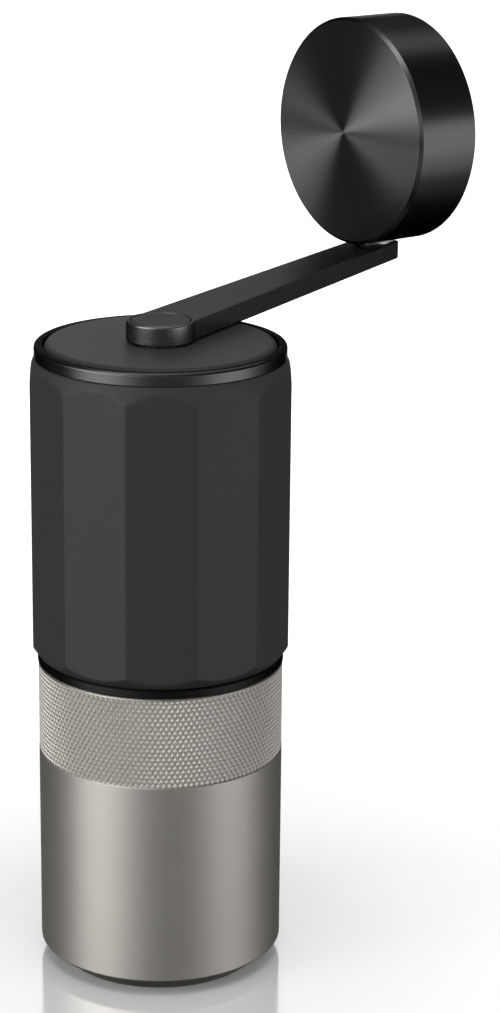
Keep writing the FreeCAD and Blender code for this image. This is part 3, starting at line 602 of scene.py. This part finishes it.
@dataclass
class SubAssembly:
    """Pieces that ride together."""

    body: str = ""

    def add(self, name: str, mesh: bpy.types.Mesh, slot: str, finish: Finish,
            *nodes: str) -> bpy.types.Object:
        """Put a finished piece on the body.

        Args:
            name: name of the piece.
            mesh: its mesh, in place.
            slot: the record's material slot; not used.
            finish: its finish.
            nodes: solids that it stands for.

        Returns:
            The new piece.
        """
        piece = bpy.data.objects.new(name, mesh)
        bpy.context.scene.collection.objects.link(piece)
        mesh.materials.clear()
        mesh.materials.append(finish.make())
        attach(piece, self.body)
        if nodes:
            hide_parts(*nodes)
        LOG.info("%s on %s: %d faces, %s", name, self.body, len(mesh.polygons), finish.name)
        return piece

    def dress(self, finish: Finish, *nodes: str) -> None:
        """Give a finish to solids that keep their own shape.

        Args:
            finish: the finish.
            nodes: names of the solids.
        """
        for node in nodes:
            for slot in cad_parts[node].material_slots:
                slot.material = finish.make()
            LOG.info("%s keeps its solid: %s", node, finish.name)


@dataclass
class CatchCup(SubAssembly):
    """The cup that catches the ground coffee, with a knurled band below its lip."""

    body: str = "cup"
    radius: float = 27.2
    foot_radius: float = 22.6
    foot_rise: float = 3.8
    band_radius: float = 26.8
    band_low: float = 50.0
    band_high: float = 69.65
    lip_radius: float = 27.18
    height: float = 70.3
    mouth_radius: float = 25.3
    mouth_low: float = 57.7
    inner_radius: float = 24.8
    floor: float = 3.2
    knurls: int = 140
    knurl_rows: int = 20
    knurl_low: float = 50.06
    knurl_step: float = 1.01
    knurl_depth: float = 0.34
    knurl_sink: float = 0.02
    band_slope: float = 0.45
    lip_slope: float = 0.1
    lip_chamfer: float = 0.3
    floor_round: float = 5.0

    def build(self) -> None:
        """Build the wall and the knurl."""
        self.add("cup_wall", turned("cup_wall", (
            (0, 0, 0), (self.foot_radius, 0, 0.3), (self.radius, self.foot_rise, 0.5),
            (self.radius, self.band_low - self.band_slope, 0.12), (self.band_radius, self.band_low, 0),
            (self.band_radius, self.band_high, 0), (self.lip_radius, self.band_high + self.lip_slope, 0.05),
            (self.lip_radius, self.height - self.lip_chamfer, 0.08),
            (self.lip_radius - self.lip_chamfer, self.height, 0.08),
            (self.mouth_radius, self.height, 0.15), (self.mouth_radius, self.mouth_low, 0),
            (self.inner_radius, self.mouth_low, 0.1), (self.inner_radius, self.floor, self.floor_round),
            (0, self.floor, 0)), FINE_SEGMENTS), "cup_metal", BLASTED_ALUMINIUM, "catch_cup")
        pitch = 2 * math.pi * self.band_radius / self.knurls
        knurl = RingPattern(Form.DIAMOND, self.knurls, self.band_radius - self.knurl_sink,
                            self.knurl_low, (self.knurl_depth, pitch, 2 * self.knurl_step),
                            self.knurl_rows, self.knurl_step)
        self.add("cup_knurl", knurl.mesh("cup_knurl", KNURLED_ALUMINIUM), "cup_metal", KNURLED_ALUMINIUM)


@dataclass
class GripBody(SubAssembly):
    """The tube with its rubber grip, the burr housing and the bridges inside."""

    body: str = "body"
    sides: int = 12
    apothem: float = 28.0
    grip_angle: float = 2.0
    corner_round: float = 0.9
    grip_low: float = 72.43
    grip_high: float = 139.17
    grip_bore: float = 26.2
    shoulder_radius: float = 27.35
    shoulder_drop: float = 4.0
    foot_radius: float = 27.2
    foot_rise: float = 2.6
    edge_round: float = 0.4
    blend: float = 0.25
    around: int = 60
    level_step: float = 0.16
    foot_levels: int = 20
    plain_from_foot: float = 3.9
    plain_from_top: float = 5.1
    plain_levels: int = 4
    shoulder_from_top: float = 4.5
    shoulder_levels: int = 29
    grip_wall: float = 1.2
    tube_inner: float = 23.47
    tube_outer: float = 26.17
    tube_low: float = 72.4
    tube_high: float = 142.0
    collar_radius: float = 27.35
    collar_inner: float = 25.45
    collar_low: float = 139.2
    collar_floor: float = 139.5
    skirt_inner: float = 22.47
    skirt_outer: float = 25.15
    skirt_low: float = 58.0
    flange_radius: float = 27.3
    flange_low: float = 70.5
    flange_chamfer: float = 0.35
    spigot_radius: float = 23.44
    spigot_high: float = 84.0
    funnel_radius: float = 22.84
    funnel_low: float = 75.23
    throat_radius: float = 13.557
    throat_low: float = 74.03

    def build(self) -> None:
        """Build the grip, the tube and the housing, and dress what they hold."""
        self.add("silicone_grip", self.grip(), "grip_rubber", SILICONE, "grip_sleeve")
        self.add("tube_and_collar", turned("tube_and_collar", (
            (self.tube_inner, self.tube_low, 0), (self.tube_outer, self.tube_low, 0),
            (self.tube_outer, self.collar_low, 0), (self.collar_radius, self.collar_low, 0.15),
            (self.collar_radius, self.tube_high, 0.8), (self.collar_inner, self.tube_high, 0.35),
            (self.collar_inner, self.collar_floor, 0.1), (self.tube_inner, self.collar_floor, 0.15)),
            FINE_SEGMENTS), "black_metal", BLACK_ALUMINIUM, "body_tube")
        self.add("housing_ring", turned("housing_ring", (
            (self.skirt_inner, self.skirt_low, 0.1), (self.skirt_outer, self.skirt_low, 0.2),
            (self.skirt_outer, self.flange_low, 0), (self.flange_radius, self.flange_low, 0.12),
            (self.flange_radius, self.tube_low - self.flange_chamfer, 0.1),
            (self.flange_radius - self.flange_chamfer, self.tube_low, 0.1),
            (self.spigot_radius, self.tube_low, 0), (self.spigot_radius, self.spigot_high, 0.1),
            (self.funnel_radius, self.spigot_high, 0.1), (self.throat_radius, self.funnel_low, 0.2),
            (self.throat_radius, self.throat_low, 0.1), (self.skirt_inner, self.throat_low, 0))),
            "black_metal", HARD_ALUMINIUM, "burr_housing")
        self.dress(MILLED_ALUMINIUM, "upper_bridge", "lower_bridge")
        self.dress(GROUND_STEEL, "upper_bridge_screws", "lower_bridge_screws")

    def reach(self, angle: float, height: float) -> float:
        """Give the grip's radius.

        Args:
            angle: direction from the middle of a flat, in radians.
            height: height above the foot of the cup.

        Returns:
            The radius there, where the flats meet the cones of the shoulder and foot.
        """
        half = math.pi / self.sides
        centre = (self.apothem - self.corner_round) / math.cos(half)
        tangent = math.atan(centre * math.sin(half) / self.apothem)
        if abs(angle) <= tangent:
            flat = self.apothem / math.cos(angle)
        else:
            off = half - abs(angle)
            flat = centre * math.cos(off) + math.sqrt(self.corner_round ** 2 - (centre * math.sin(off)) ** 2)
        corner = centre + self.corner_round
        shoulder = self.shoulder_radius + (self.grip_high - height) * (
            corner - self.shoulder_radius) / self.shoulder_drop
        foot = self.foot_radius + (height - self.grip_low) * (corner - self.foot_radius) / self.foot_rise
        cone = min(shoulder, foot)
        near = max(self.blend - abs(flat - cone), 0) / self.blend
        return min(flat, cone) - near * near * self.blend / 4

    def grip(self) -> bpy.types.Mesh:
        """Build the grip, a twelve sided sleeve with a coned shoulder and foot.

        Returns:
            The grip's mesh.
        """
        low, high, edge = self.grip_low, self.grip_high, self.edge_round
        plain = high - low - self.plain_from_foot - self.plain_from_top
        levels = [(low + along, inset) for inset, along in quarter_round(edge)]
        levels += [(low + edge + self.level_step * step, 0.0) for step in range(1, self.foot_levels + 1)]
        levels += [(low + self.plain_from_foot + plain * step / self.plain_levels, 0.0)
                   for step in range(self.plain_levels + 1)]
        levels += [(high - edge - self.shoulder_from_top + self.level_step * step, 0.0)
                   for step in range(self.shoulder_levels)]
        levels += [(high - along, inset) for along, inset in quarter_round(edge)]
        half = math.pi / self.sides
        turns = [(2 * half * side + math.radians(self.grip_angle),
                  half * (2 * (step + 0.5) / self.around - 1))
                 for side in range(self.sides) for step in range(self.around)]

        def ring(height: float, radius_at: Callable[[float], float]) -> list[Vector]:
            """Give the points of one level."""
            return [Vector((radius_at(local) * math.cos(side + local),
                            radius_at(local) * math.sin(side + local), height)) for side, local in turns]

        rows = [ring(height, lambda local, h=height, i=inset: self.reach(local, h) - i)
                for height, inset in levels]
        rows += [ring(high, lambda local: self.grip_bore), ring(low, lambda local: self.grip_bore)]
        lengths = [height - low for height, _ in levels]
        lengths += [high - low + self.grip_wall, 2 * (high - low) + self.grip_wall]
        return skin("silicone_grip", rows, lengths)


@dataclass
class Drive(SubAssembly):
    """The shaft with its spring, and the two bearings that it turns in."""

    body: str = "shaft"
    spring_wire: float = 0.9
    spring_turns: float = 4.0
    burr_travel: float = 1.25

    def build(self) -> None:
        """Wind the spring, and dress the shaft and the bearings."""
        self.wind_spring()
        self.dress(GROUND_STEEL, "drive_shaft", "spring_washer")
        for place in ("upper", "lower"):
            self.dress(LAPPED_STEEL, f"{place}_bearing_inner_race", f"{place}_bearing_outer_race",
                       f"{place}_bearing_balls")
            self.dress(SPRING_STEEL, f"{place}_bearing_cage")

    def wind_spring(self) -> None:
        """Wind the spring over the burr."""
        low, high = (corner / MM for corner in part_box("burr_spring"))
        length = high.z - low.z
        coil = WireCoil(self.spring_turns, high.x - self.spring_wire / 2, self.spring_wire,
                        low.z + self.spring_wire / 2, length - self.spring_wire)
        spring = self.add("burr_coil_spring", coil.mesh("burr_coil_spring", SPRING_STEEL),
                          "steel", SPRING_STEEL, "burr_spring")
        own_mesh(spring)


@dataclass
class Burrs(SubAssembly):
    """The grinding burrs and the plate that the dial clicks on."""

    body: str = "burr"

    def build(self) -> None:
        """Dress the burrs."""
        self.dress(GROUND_STEEL, "cone_burr", "ring_burr", "burr_retaining_ring", "click_plate")


@dataclass
class Adjuster(SubAssembly):
    """The dial under the burr that sets how fine it grinds."""

    body: str = "dial"
    marks: int = 16
    mark_radius: float = 9.4
    face: float = 52.6
    mark_size: tuple[float, float, float] = (2.2, 0.4, 0.06)

    def build(self) -> None:
        """Dress the dial and set its marks out."""
        self.dress(MILLED_ALUMINIUM, "adjust_dial")
        self.dress(LAPPED_STEEL, "detent_balls")
        self.dress(SPRING_STEEL, "detent_springs")
        marks = RingPattern(Form.BAR, self.marks, self.mark_radius, self.face, self.mark_size)
        self.add("dial_marks", marks.mesh("dial_marks", MARK_PAINT), "plain_metal", MARK_PAINT)


@dataclass
class HopperLid(SubAssembly):
    """The lid that closes the hopper, with its seal."""

    body: str = "lid"
    bore: float = 6.3
    radius: float = 25.2
    high: float = 142.35
    edge_round: float = 1.5
    flange_low: float = 139.56
    skirt_inner: float = 20.22
    skirt_radius: float = 23.22
    skirt_low: float = 134.56
    groove_radius: float = 21.58
    groove_low: float = 136.13
    groove_high: float = 137.99

    def build(self) -> None:
        """Build the lid and dress its seal."""
        self.add("lid_moulding", turned("lid_moulding", (
            (self.bore, self.flange_low, 0.2), (self.skirt_inner, self.flange_low, 0.3),
            (self.skirt_inner, self.skirt_low, 0.2), (self.skirt_radius, self.skirt_low, 0.3),
            (self.skirt_radius, self.groove_low, 0.1), (self.groove_radius, self.groove_low, 0.1),
            (self.groove_radius, self.groove_high, 0.1), (self.skirt_radius, self.groove_high, 0.1),
            (self.skirt_radius, self.flange_low, 0.1), (self.radius, self.flange_low, 0.2),
            (self.radius, self.high, self.edge_round), (self.bore, self.high, 0.4))),
            "black_plastic", BLACK_ABS, "hopper_lid")
        self.dress(SILICONE, "lid_seal")


@dataclass
class Crank(SubAssembly):
    """The arm with its hub, cap and socket, and the spindle at its tip."""

    body: str = "crank"
    low: float = 142.65
    high: float = 147.05
    length: float = 102.8
    root_half: float = 6.85
    tip_half: float = 5.05
    hub_radius: float = 7.5
    tip_round: float = 1.2
    edge_round: float = 0.4
    cap_radius: float = 6.4
    cap_low: float = 146.05
    recess_radius: float = 6.43
    recess_chamfer: float = 0.2
    spindle_x: float = 98.3
    screw_radius: float = 2.83
    screw_core: float = 1.53
    hub_steps: int = 60
    hole_steps: int = 96
    sharp_angle: float = 20.0

    def build(self) -> None:
        """Build the arm and its cap, and dress the rest."""
        self.add("arm_and_hub", self.arm(), "black_metal", ARM_ALUMINIUM, "crank_arm")
        self.add("hub_button", turned("hub_button", (
            (0, self.cap_low, 0), (self.cap_radius, self.cap_low, 0.1),
            (self.cap_radius, self.high, 0.3), (0, self.high, 0)), SMALL_SEGMENTS),
            "black_metal", ARM_ALUMINIUM, "hub_cap")
        self.dress(GROUND_STEEL, "crank_socket", "hub_screw", "knob_spindle", "spindle_screw", "spindle_clip")

    def outline(self) -> list[Vector]:
        """Give the arm's outline.

        Returns:
            Its points, anticlockwise from where the arm's left side meets the hub.
        """
        slope = (self.tip_half - self.root_half) / self.length
        square, cross = 1 + slope * slope, self.root_half * slope
        rest = self.root_half ** 2 - self.hub_radius ** 2
        join = (math.sqrt(cross * cross - square * rest) - cross) / square
        start = math.atan2(self.root_half + slope * join, join)
        sweep = 2 * (math.pi - start)
        turns = [start + sweep * step / self.hub_steps for step in range(self.hub_steps + 1)]
        points = [Vector((self.hub_radius * math.cos(turn), self.hub_radius * math.sin(turn)))
                  for turn in turns]
        root = (join, self.root_half + slope * join)
        tip = rounded(((root[0], -root[1], 0), (self.length, -self.tip_half, self.tip_round),
                       (self.length, self.tip_half, self.tip_round), (*root, 0)))
        return points + [Vector(point) for point in tip[1:-1]]

    def arm(self) -> bpy.types.Mesh:
        """Build the arm.

        Returns:
            The arm's mesh, with the recess of the cap and the countersink of the screw.
        """
        shell = bmesh.new()
        outline = self.outline()

        def ring(points: Sequence[Vector], height: float) -> list[bmesh.types.BMVert]:
            """Add a closed row of points at one height."""
            return [shell.verts.new((point.x * MM, point.y * MM, height * MM)) for point in points]

        def inset(depth: float) -> list[Vector]:
            """Give the outline moved inwards.

            Args:
                depth: how far, in millimetres.

            Returns:
                The moved points.
            """
            moved = []
            for back, here, on in zip(outline[-1:] + outline[:-1], outline, outline[1:] + outline[:1]):
                normal = ((here - back).normalized() + (on - here).normalized()).normalized()
                moved.append(here + Vector((-normal.y, normal.x)) * depth)
            return moved

        def circle(x: float, radius: float) -> list[Vector]:
            """Give a circle about a point of the arm's middle line."""
            turns = (math.tau * step / self.hole_steps for step in range(self.hole_steps))
            return [Vector((x + radius * math.cos(turn), radius * math.sin(turn))) for turn in turns]

        def wall(rings: Sequence[Sequence[bmesh.types.BMVert]]) -> None:
            """Join rows of points by faces.

            Args:
                rings: the rows, in order and as many points in each.
            """
            for low, high in zip(rings, rings[1:]):
                for here, on, over, up in zip(low, low[1:] + low[:1], high[1:] + high[:1], high):
                    shell.faces.new((here, on, over, up))

        def flat(*rings: Sequence[bmesh.types.BMVert]) -> None:
            """Fill a flat face.

            Args:
                rings: its outer row of points, and then a row for each hole.
            """
            edges = [shell.edges.get(pair) or shell.edges.new(pair)
                     for row in rings for pair in zip(row, row[1:] + row[:1])]
            bmesh.ops.triangle_fill(shell, use_beauty=True, use_dissolve=False, edges=edges)

        edge = self.edge_round
        levels = [(edge + SUPPORT, 0.0)] + quarter_round(edge) + [(0.0, edge + SUPPORT)]
        sides = [ring(inset(depth), self.low + rise) for depth, rise in levels]
        sides += [ring(inset(depth), self.high - rise) for depth, rise in reversed(levels)]
        wall(sides)
        recess = [ring(circle(0, radius), height) for radius, height in (
            (self.recess_radius + self.recess_chamfer, self.high),
            (self.recess_radius, self.high - self.recess_chamfer), (self.recess_radius, self.cap_low))]
        sink = [ring(circle(self.spindle_x, radius), height) for radius, height in (
            (self.screw_radius, self.low), (self.screw_core, self.low + self.screw_radius - self.screw_core))]
        wall(recess)
        wall(sink)
        flat(sides[-1], recess[0])
        flat(recess[-1])
        flat(sides[0], sink[0])
        flat(sink[-1])
        bmesh.ops.recalc_face_normals(shell, faces=shell.faces)
        mesh = bpy.data.meshes.new("arm_and_hub")
        shell.to_mesh(mesh)
        shell.free()
        return smooth(mesh, self.sharp_angle)


@dataclass
class Knob(SubAssembly):
    """The round knob that the hand turns the crank by."""

    body: str = "knob"
    centre: tuple[float, float, float] = (98.3, 0.0, 174.65)
    angle: float = -22.9
    radius: float = 27.1
    half: float = 8.75
    chamfer: float = 0.8
    crown: float = 1.4
    crown_power: float = 1.5
    face_steps: int = 12
    edge_round: float = 0.12
    bore: float = 25.1
    face_thickness: float = 2.2
    plate_radius: float = 25.07
    plate_thickness: float = 2.2

    def build(self) -> None:
        """Build the shell and the plate, and dress what they hold."""
        place = (Matrix.Translation(Vector(self.centre) * MM)
                 @ Matrix.Rotation(math.radians(self.angle), 4, "Z") @ Matrix.Rotation(math.pi / 2, 4, "Y"))
        near, far, rim = -self.half, self.half, self.radius - self.chamfer
        shares = [step / self.face_steps for step in range(self.face_steps)]
        face = [(rim * share, near - self.crown * (1 - share ** self.crown_power), 0) for share in shares]
        shell = turned("knob_turned_shell", (
            *face, (rim, near, self.edge_round), (self.radius, near + self.chamfer, self.edge_round),
            (self.radius, far - self.chamfer, self.edge_round), (rim, far, self.edge_round),
            (self.bore, far, 0.08), (self.bore, near + self.face_thickness, 0.5),
            (0, near + self.face_thickness, 0)), FINE_SEGMENTS, place)
        self.add("knob_turned_shell", shell, "black_metal", TURNED_BLACK_ALUMINIUM, "knob_shell")
        self.dress_rim(shell, place)
        self.add("knob_rear_plate", turned("knob_rear_plate", (
            (0, far - self.plate_thickness, 0), (self.plate_radius, far - self.plate_thickness, 0.1),
            (self.plate_radius, far, self.edge_round), (0, far, 0)), SEGMENTS, place),
            "black_metal", TURNED_BLACK_ALUMINIUM, "knob_back_plate")
        self.dress(BLACK_ABS, "knob_core")
        self.dress(ACETAL, "knob_bush")

    def dress_rim(self, shell: bpy.types.Mesh, place: Matrix) -> None:
        """Blast the rim and its chamfers, which leaves the turning rings on the face alone.

        Args:
            shell: the knob's shell.
            place: where the knob stands.
        """
        shell.materials.append(BLACK_ALUMINIUM.make())
        upright = place.inverted()
        for face in shell.polygons:
            spot = upright @ face.center
            if math.hypot(spot.x, spot.y) > (self.radius - self.chamfer + SUPPORT) * MM:
                face.material_index = 1


# Studio


@dataclass(frozen=True)
class Lamp:
    """A soft lamp, with its place and size in millimetres.

    Attributes:
        name: name of the lamp.
        turn: degrees from the camera's side, negative to its left.
        out, height: how far out and how high it hangs.
        power: its power in watts.
        size: width and height of its face.
    """

    name: str
    turn: float
    out: float
    height: float
    power: float
    size: Point


@dataclass(frozen=True)
class WallPatch:
    """A patch of light on the studio's walls.

    Attributes:
        name: what it is.
        across: place round the walls and level of each stop. The camera's side is at 0.5,
            its left at 0.25, its right at 0.75 and the far side at 0 and 1.
        upward: place up the walls and level of each stop.
    """

    name: str
    across: tuple[Point, ...]
    upward: tuple[Point, ...]


LAMPS = (
    Lamp("left_soft_box", -60.0, 1100.0, 300.0, 7.0, (500.0, 900.0)),
    Lamp("right_soft_box", 64.0, 1100.0, 300.0, 4.0, (500.0, 900.0)),
    Lamp("top_soft_box", 0.0, 350.0, 1300.0, 6.0, (700.0, 700.0)))

WALL_PATCHES = (
    WallPatch("low left soft box",
              ((0.25, 0.02), (0.29, 0.58), (0.32, 1.00), (0.37, 1.00), (0.41, 0.58),
               (0.45, 0.22), (0.48, 0.11), (0.57, 0.09), (0.61, 0.02)),
              ((0.15, 0.03), (0.20, 0.71), (0.27, 0.71), (0.32, 0.05))),
    WallPatch("left soft boxes, one half way up and one high",
              ((0.24, 0.02), (0.28, 0.45), (0.31, 1.00), (0.36, 1.00), (0.40, 0.65),
               (0.44, 0.25), (0.48, 0.11), (0.57, 0.09), (0.61, 0.02)),
              ((0.28, 0.03), (0.35, 0.15), (0.39, 1.40), (0.45, 1.40), (0.50, 0.28), (0.70, 0.28),
               (0.76, 1.00), (0.92, 1.00), (1.00, 0.40))),
    WallPatch("right soft box",
              ((0.55, 0.03), (0.61, 0.25), (0.65, 0.62), (0.69, 0.74), (0.73, 0.58),
               (0.77, 0.20), (0.82, 0.03)),
              ((0.14, 0.06), (0.19, 0.44), (0.25, 0.48), (0.29, 0.66), (0.40, 0.66), (0.44, 0.03))),
    WallPatch("high soft box behind on the right",
              ((0.83, 0.00), (0.88, 0.22), (0.94, 0.22), (0.97, 0.00)),
              ((0.60, 0.00), (0.68, 1.00), (0.84, 1.00), (0.92, 0.00))),
    WallPatch("pale low wall all round",
              ((0.00, 0.05), (1.00, 0.05)),
              ((0.03, 0.00), (0.07, 1.00), (0.14, 1.00), (0.18, 0.00))),
    WallPatch("dim ceiling",
              ((0.00, 1.00), (1.00, 1.00)),
              ((0.78, 0.00), (0.98, 0.11))),
    WallPatch("white backdrop, from a little below the floor",
              ((0.00, 0.30), (0.035, 0.30), (0.065, 0.00), (0.935, 0.00), (0.965, 0.30)),
              ((0.26, 0.00), (0.28, 1.00))))


@dataclass
class Studio:
    """The camera, the floor and the light."""

    lens: float = 97.66
    sensor: float = 36.0
    camera_place: tuple[float, float, float] = (-488.88, -303.43, 283.254)
    yaw: float = 60.122
    pitch: float = 17.198
    roll: float = 0.583
    clip: Point = (0.01, 50.0)
    floor_half: float = 5000.0
    floor_white: str = "#F2F2F2"
    mirror: float = 0.52
    mirror_roughness: float = 0.11
    glow: float = 1.7
    glow_near: float = 45.0
    glow_far: float = 480.0
    wall_radius: float = 1500.0
    wall_low: float = -1500.0
    wall_high: float = 3000.0
    wall_sides: int = 96
    wall_dark: float = 0.006
    side_level: float = 3.4
    sky_level: float = 0.80
    ground_level: float = 0.10
    horizon: float = 0.3
    aim: float = 100.0

    def build(self) -> None:
        """Set up the camera, the floor, the walls, the lamps and the world."""
        bpy.context.scene.view_settings.view_transform = "Standard"
        forward = self.add_camera()
        facing = math.atan2(-forward.y, -forward.x)
        self.add_floor()
        self.add_walls(facing)
        self.add_lamps(facing)
        self.light_world()

    def add_camera(self) -> Vector:
        """Put the camera at the photograph's viewing angle.

        Returns:
            The direction that it looks in.
        """
        yaw, pitch = math.radians(self.yaw), math.radians(self.pitch)
        forward = Vector((math.sin(yaw) * math.cos(pitch), math.cos(yaw) * math.cos(pitch), -math.sin(pitch)))
        level = Vector((math.cos(yaw), -math.sin(yaw), 0))
        up = level.cross(forward)
        axes = Matrix((level, up, -forward)).transposed() @ Matrix.Rotation(math.radians(self.roll), 3, "Z")
        data = bpy.data.cameras.new("photo_camera")
        data.lens, data.sensor_width = self.lens, self.sensor
        data.clip_start, data.clip_end = self.clip
        camera = bpy.data.objects.new("photo_camera", data)
        camera.matrix_world = Matrix.Translation(Vector(self.camera_place) * MM) @ axes.to_4x4()
        bpy.context.scene.collection.objects.link(camera)
        bpy.context.scene.camera = camera
        return forward

    def stage_piece(self, name: str, mesh: bpy.types.Mesh, material: bpy.types.Material) -> bpy.types.Object:
        """Add a piece of the studio.

        Args:
            name: its name.
            mesh: its mesh.
            material: its material.

        Returns:
            The new object.
        """
        piece = bpy.data.objects.new(name, mesh)
        mesh.materials.append(material)
        bpy.context.scene.collection.objects.link(piece)
        return piece

    def add_floor(self) -> None:
        """Lay a white floor that mirrors the cup, with a painted glow seen only by the camera: none near the
        object, so the floor stays darker round it, rising to pure white further out.
        """
        half = self.floor_half * MM
        mesh = bpy.data.meshes.new("floor")
        corners = [(-half, -half, 0), (half, -half, 0), (half, half, 0), (-half, half, 0)]
        mesh.from_pydata(corners, [], [(0, 1, 2, 3)])
        material = new_material("polished_white_acrylic_floor")
        tree = material.node_tree
        matt = add_node(tree, "ShaderNodeBsdfDiffuse", {"Color": linear(self.floor_white)})
        place = add_node(tree, "ShaderNodeTexCoord").outputs["Object"]
        away = add_node(tree, "ShaderNodeVectorMath", {0: place}, operation="LENGTH")
        # Painted glow: light on the floor seen only by the camera, none near the object and full further out.
        fade = add_node(tree, "ShaderNodeMapRange", {
            0: away.outputs["Value"], 1: self.glow_near * MM, 2: self.glow_far * MM, 3: 0.0, 4: self.glow})
        seen = add_node(tree, "ShaderNodeMath", operation="MULTIPLY", inputs={
            0: add_node(tree, "ShaderNodeLightPath").outputs["Is Camera Ray"], 1: fade.outputs[0]})
        glow = add_node(tree, "ShaderNodeEmission", {"Strength": seen.outputs[0]})
        white = add_node(tree, "ShaderNodeAddShader", {0: matt.outputs[0], 1: glow.outputs[0]})
        mirror = add_node(tree, "ShaderNodeBsdfGlossy", {"Roughness": self.mirror_roughness})
        polished = add_node(tree, "ShaderNodeMixShader",
                            {0: self.mirror, 1: white.outputs[0], 2: mirror.outputs[0]})
        add_node(tree, "ShaderNodeOutputMaterial", {"Surface": polished.outputs[0]})
        floor = self.stage_piece("floor", mesh, material)
        floor.visible_glossy = floor.visible_diffuse = False

    def add_walls(self, facing: float) -> None:
        """Stand the studio's walls round the object, for its metal to mirror.

        Soft boxes stand to the left and right of the camera and behind on the right, the
        backdrop is white, and the rest is dark.

        Args:
            facing: direction of the camera from the object, in radians.
        """
        count, radius = self.wall_sides, self.wall_radius * MM
        low, high = self.wall_low * MM, self.wall_high * MM
        angles = [math.tau * step / count for step in range(count)]
        points = [(radius * math.cos(a), radius * math.sin(a), z) for z in (low, high) for a in angles]
        faces = [(step, (step + 1) % count, count + (step + 1) % count, count + step)
                 for step in range(count)]
        mesh = bpy.data.meshes.new("studio_walls")
        mesh.from_pydata(points, [], faces + [tuple(range(count)), tuple(range(count, 2 * count))])
        material = new_material("studio_walls_with_soft_boxes")
        tree = material.node_tree
        place = add_node(tree, "ShaderNodeTexCoord").outputs["Object"]
        split = add_node(tree, "ShaderNodeSeparateXYZ", {0: place})
        turn = add_node(tree, "ShaderNodeMath", operation="ARCTAN2", inputs={
            0: split.outputs["Y"], 1: split.outputs["X"]})
        way = add_node(tree, "ShaderNodeMapRange", {0: turn.outputs[0], 1: -math.pi, 2: math.pi}).outputs[0]
        height = add_node(tree, "ShaderNodeMapRange", {0: split.outputs["Z"], 1: low, 2: high}).outputs[0]
        level = self.wall_dark
        for patch in WALL_PATCHES:
            beside = add_node(tree, "ShaderNodeValToRGB", {0: way}, stops=patch.across, label=patch.name)
            above = add_node(tree, "ShaderNodeValToRGB", {0: height}, stops=patch.upward, label=patch.name)
            part = add_node(tree, "ShaderNodeMath", operation="MULTIPLY", inputs={
                0: beside.outputs[0], 1: above.outputs[0]})
            most = add_node(tree, "ShaderNodeMath", {0: part.outputs[0], 1: level}, operation="MAXIMUM")
            level = most.outputs[0]
        strength = add_node(tree, "ShaderNodeMath", {0: level, 1: self.side_level}, operation="MULTIPLY")
        light = add_node(tree, "ShaderNodeEmission", {"Strength": strength.outputs[0]})
        add_node(tree, "ShaderNodeOutputMaterial", {"Surface": light.outputs[0]})
        walls = self.stage_piece("studio_walls", mesh, material)
        walls.rotation_euler.z = facing
        walls.visible_camera = walls.visible_diffuse = walls.visible_shadow = False

    def add_lamps(self, facing: float) -> None:
        """Hang the soft lamps.

        Args:
            facing: direction of the camera from the object, in radians.
        """
        for lamp in LAMPS:
            data = bpy.data.lights.new(lamp.name, "AREA")
            data.shape, data.energy = "RECTANGLE", lamp.power
            data.size, data.size_y = (side * MM for side in lamp.size)
            hung = bpy.data.objects.new(lamp.name, data)
            angle = facing + math.radians(lamp.turn)
            across, along = lamp.out * math.cos(angle), lamp.out * math.sin(angle)
            hung.location = Vector((across, along, lamp.height)) * MM
            towards = Vector((0, 0, self.aim * MM)) - hung.location
            hung.rotation_euler = towards.to_track_quat("-Z", "Y").to_euler()
            hung.visible_glossy = False
            bpy.context.scene.collection.objects.link(hung)

    def light_world(self) -> None:
        """Light the world white where it is seen or mirrored, and softly elsewhere."""
        world = bpy.data.worlds.new("white_studio")
        world.use_nodes = True
        tree = world.node_tree
        tree.nodes.clear()
        path = add_node(tree, "ShaderNodeLightPath").outputs
        shown = add_node(tree, "ShaderNodeMath", operation="MAXIMUM",
                         inputs={0: path["Is Camera Ray"], 1: path["Is Glossy Ray"]})
        shown = add_node(tree, "ShaderNodeMath", operation="MAXIMUM",
                         inputs={0: shown.outputs[0], 1: path["Is Transmission Ray"]})
        outward = add_node(tree, "ShaderNodeTexCoord").outputs["Generated"]
        way = add_node(tree, "ShaderNodeSeparateXYZ", {0: outward})
        soft = add_node(tree, "ShaderNodeMapRange", {
            0: way.outputs["Z"], 1: -self.horizon, 2: self.horizon, 3: self.ground_level, 4: self.sky_level})
        level = add_node(tree, "ShaderNodeMapRange", {0: shown.outputs[0], 3: soft.outputs[0], 4: 1.0})
        sky = add_node(tree, "ShaderNodeBackground",
                       {"Color": (1.0, 1.0, 1.0, 1.0), "Strength": level.outputs[0]})
        add_node(tree, "ShaderNodeOutputWorld", {"Surface": sky.outputs[0]})
        bpy.context.scene.world = world


def main() -> None:
    """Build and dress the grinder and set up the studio."""
    logging.basicConfig(level=logging.INFO, format="%(name)s: %(message)s")
    for part in (CatchCup(), GripBody(), Drive(), Burrs(), Adjuster(), HopperLid(), Crank(), Knob()):
        part.build()
    Studio().build()


if __name__ == "__main__":
    main()
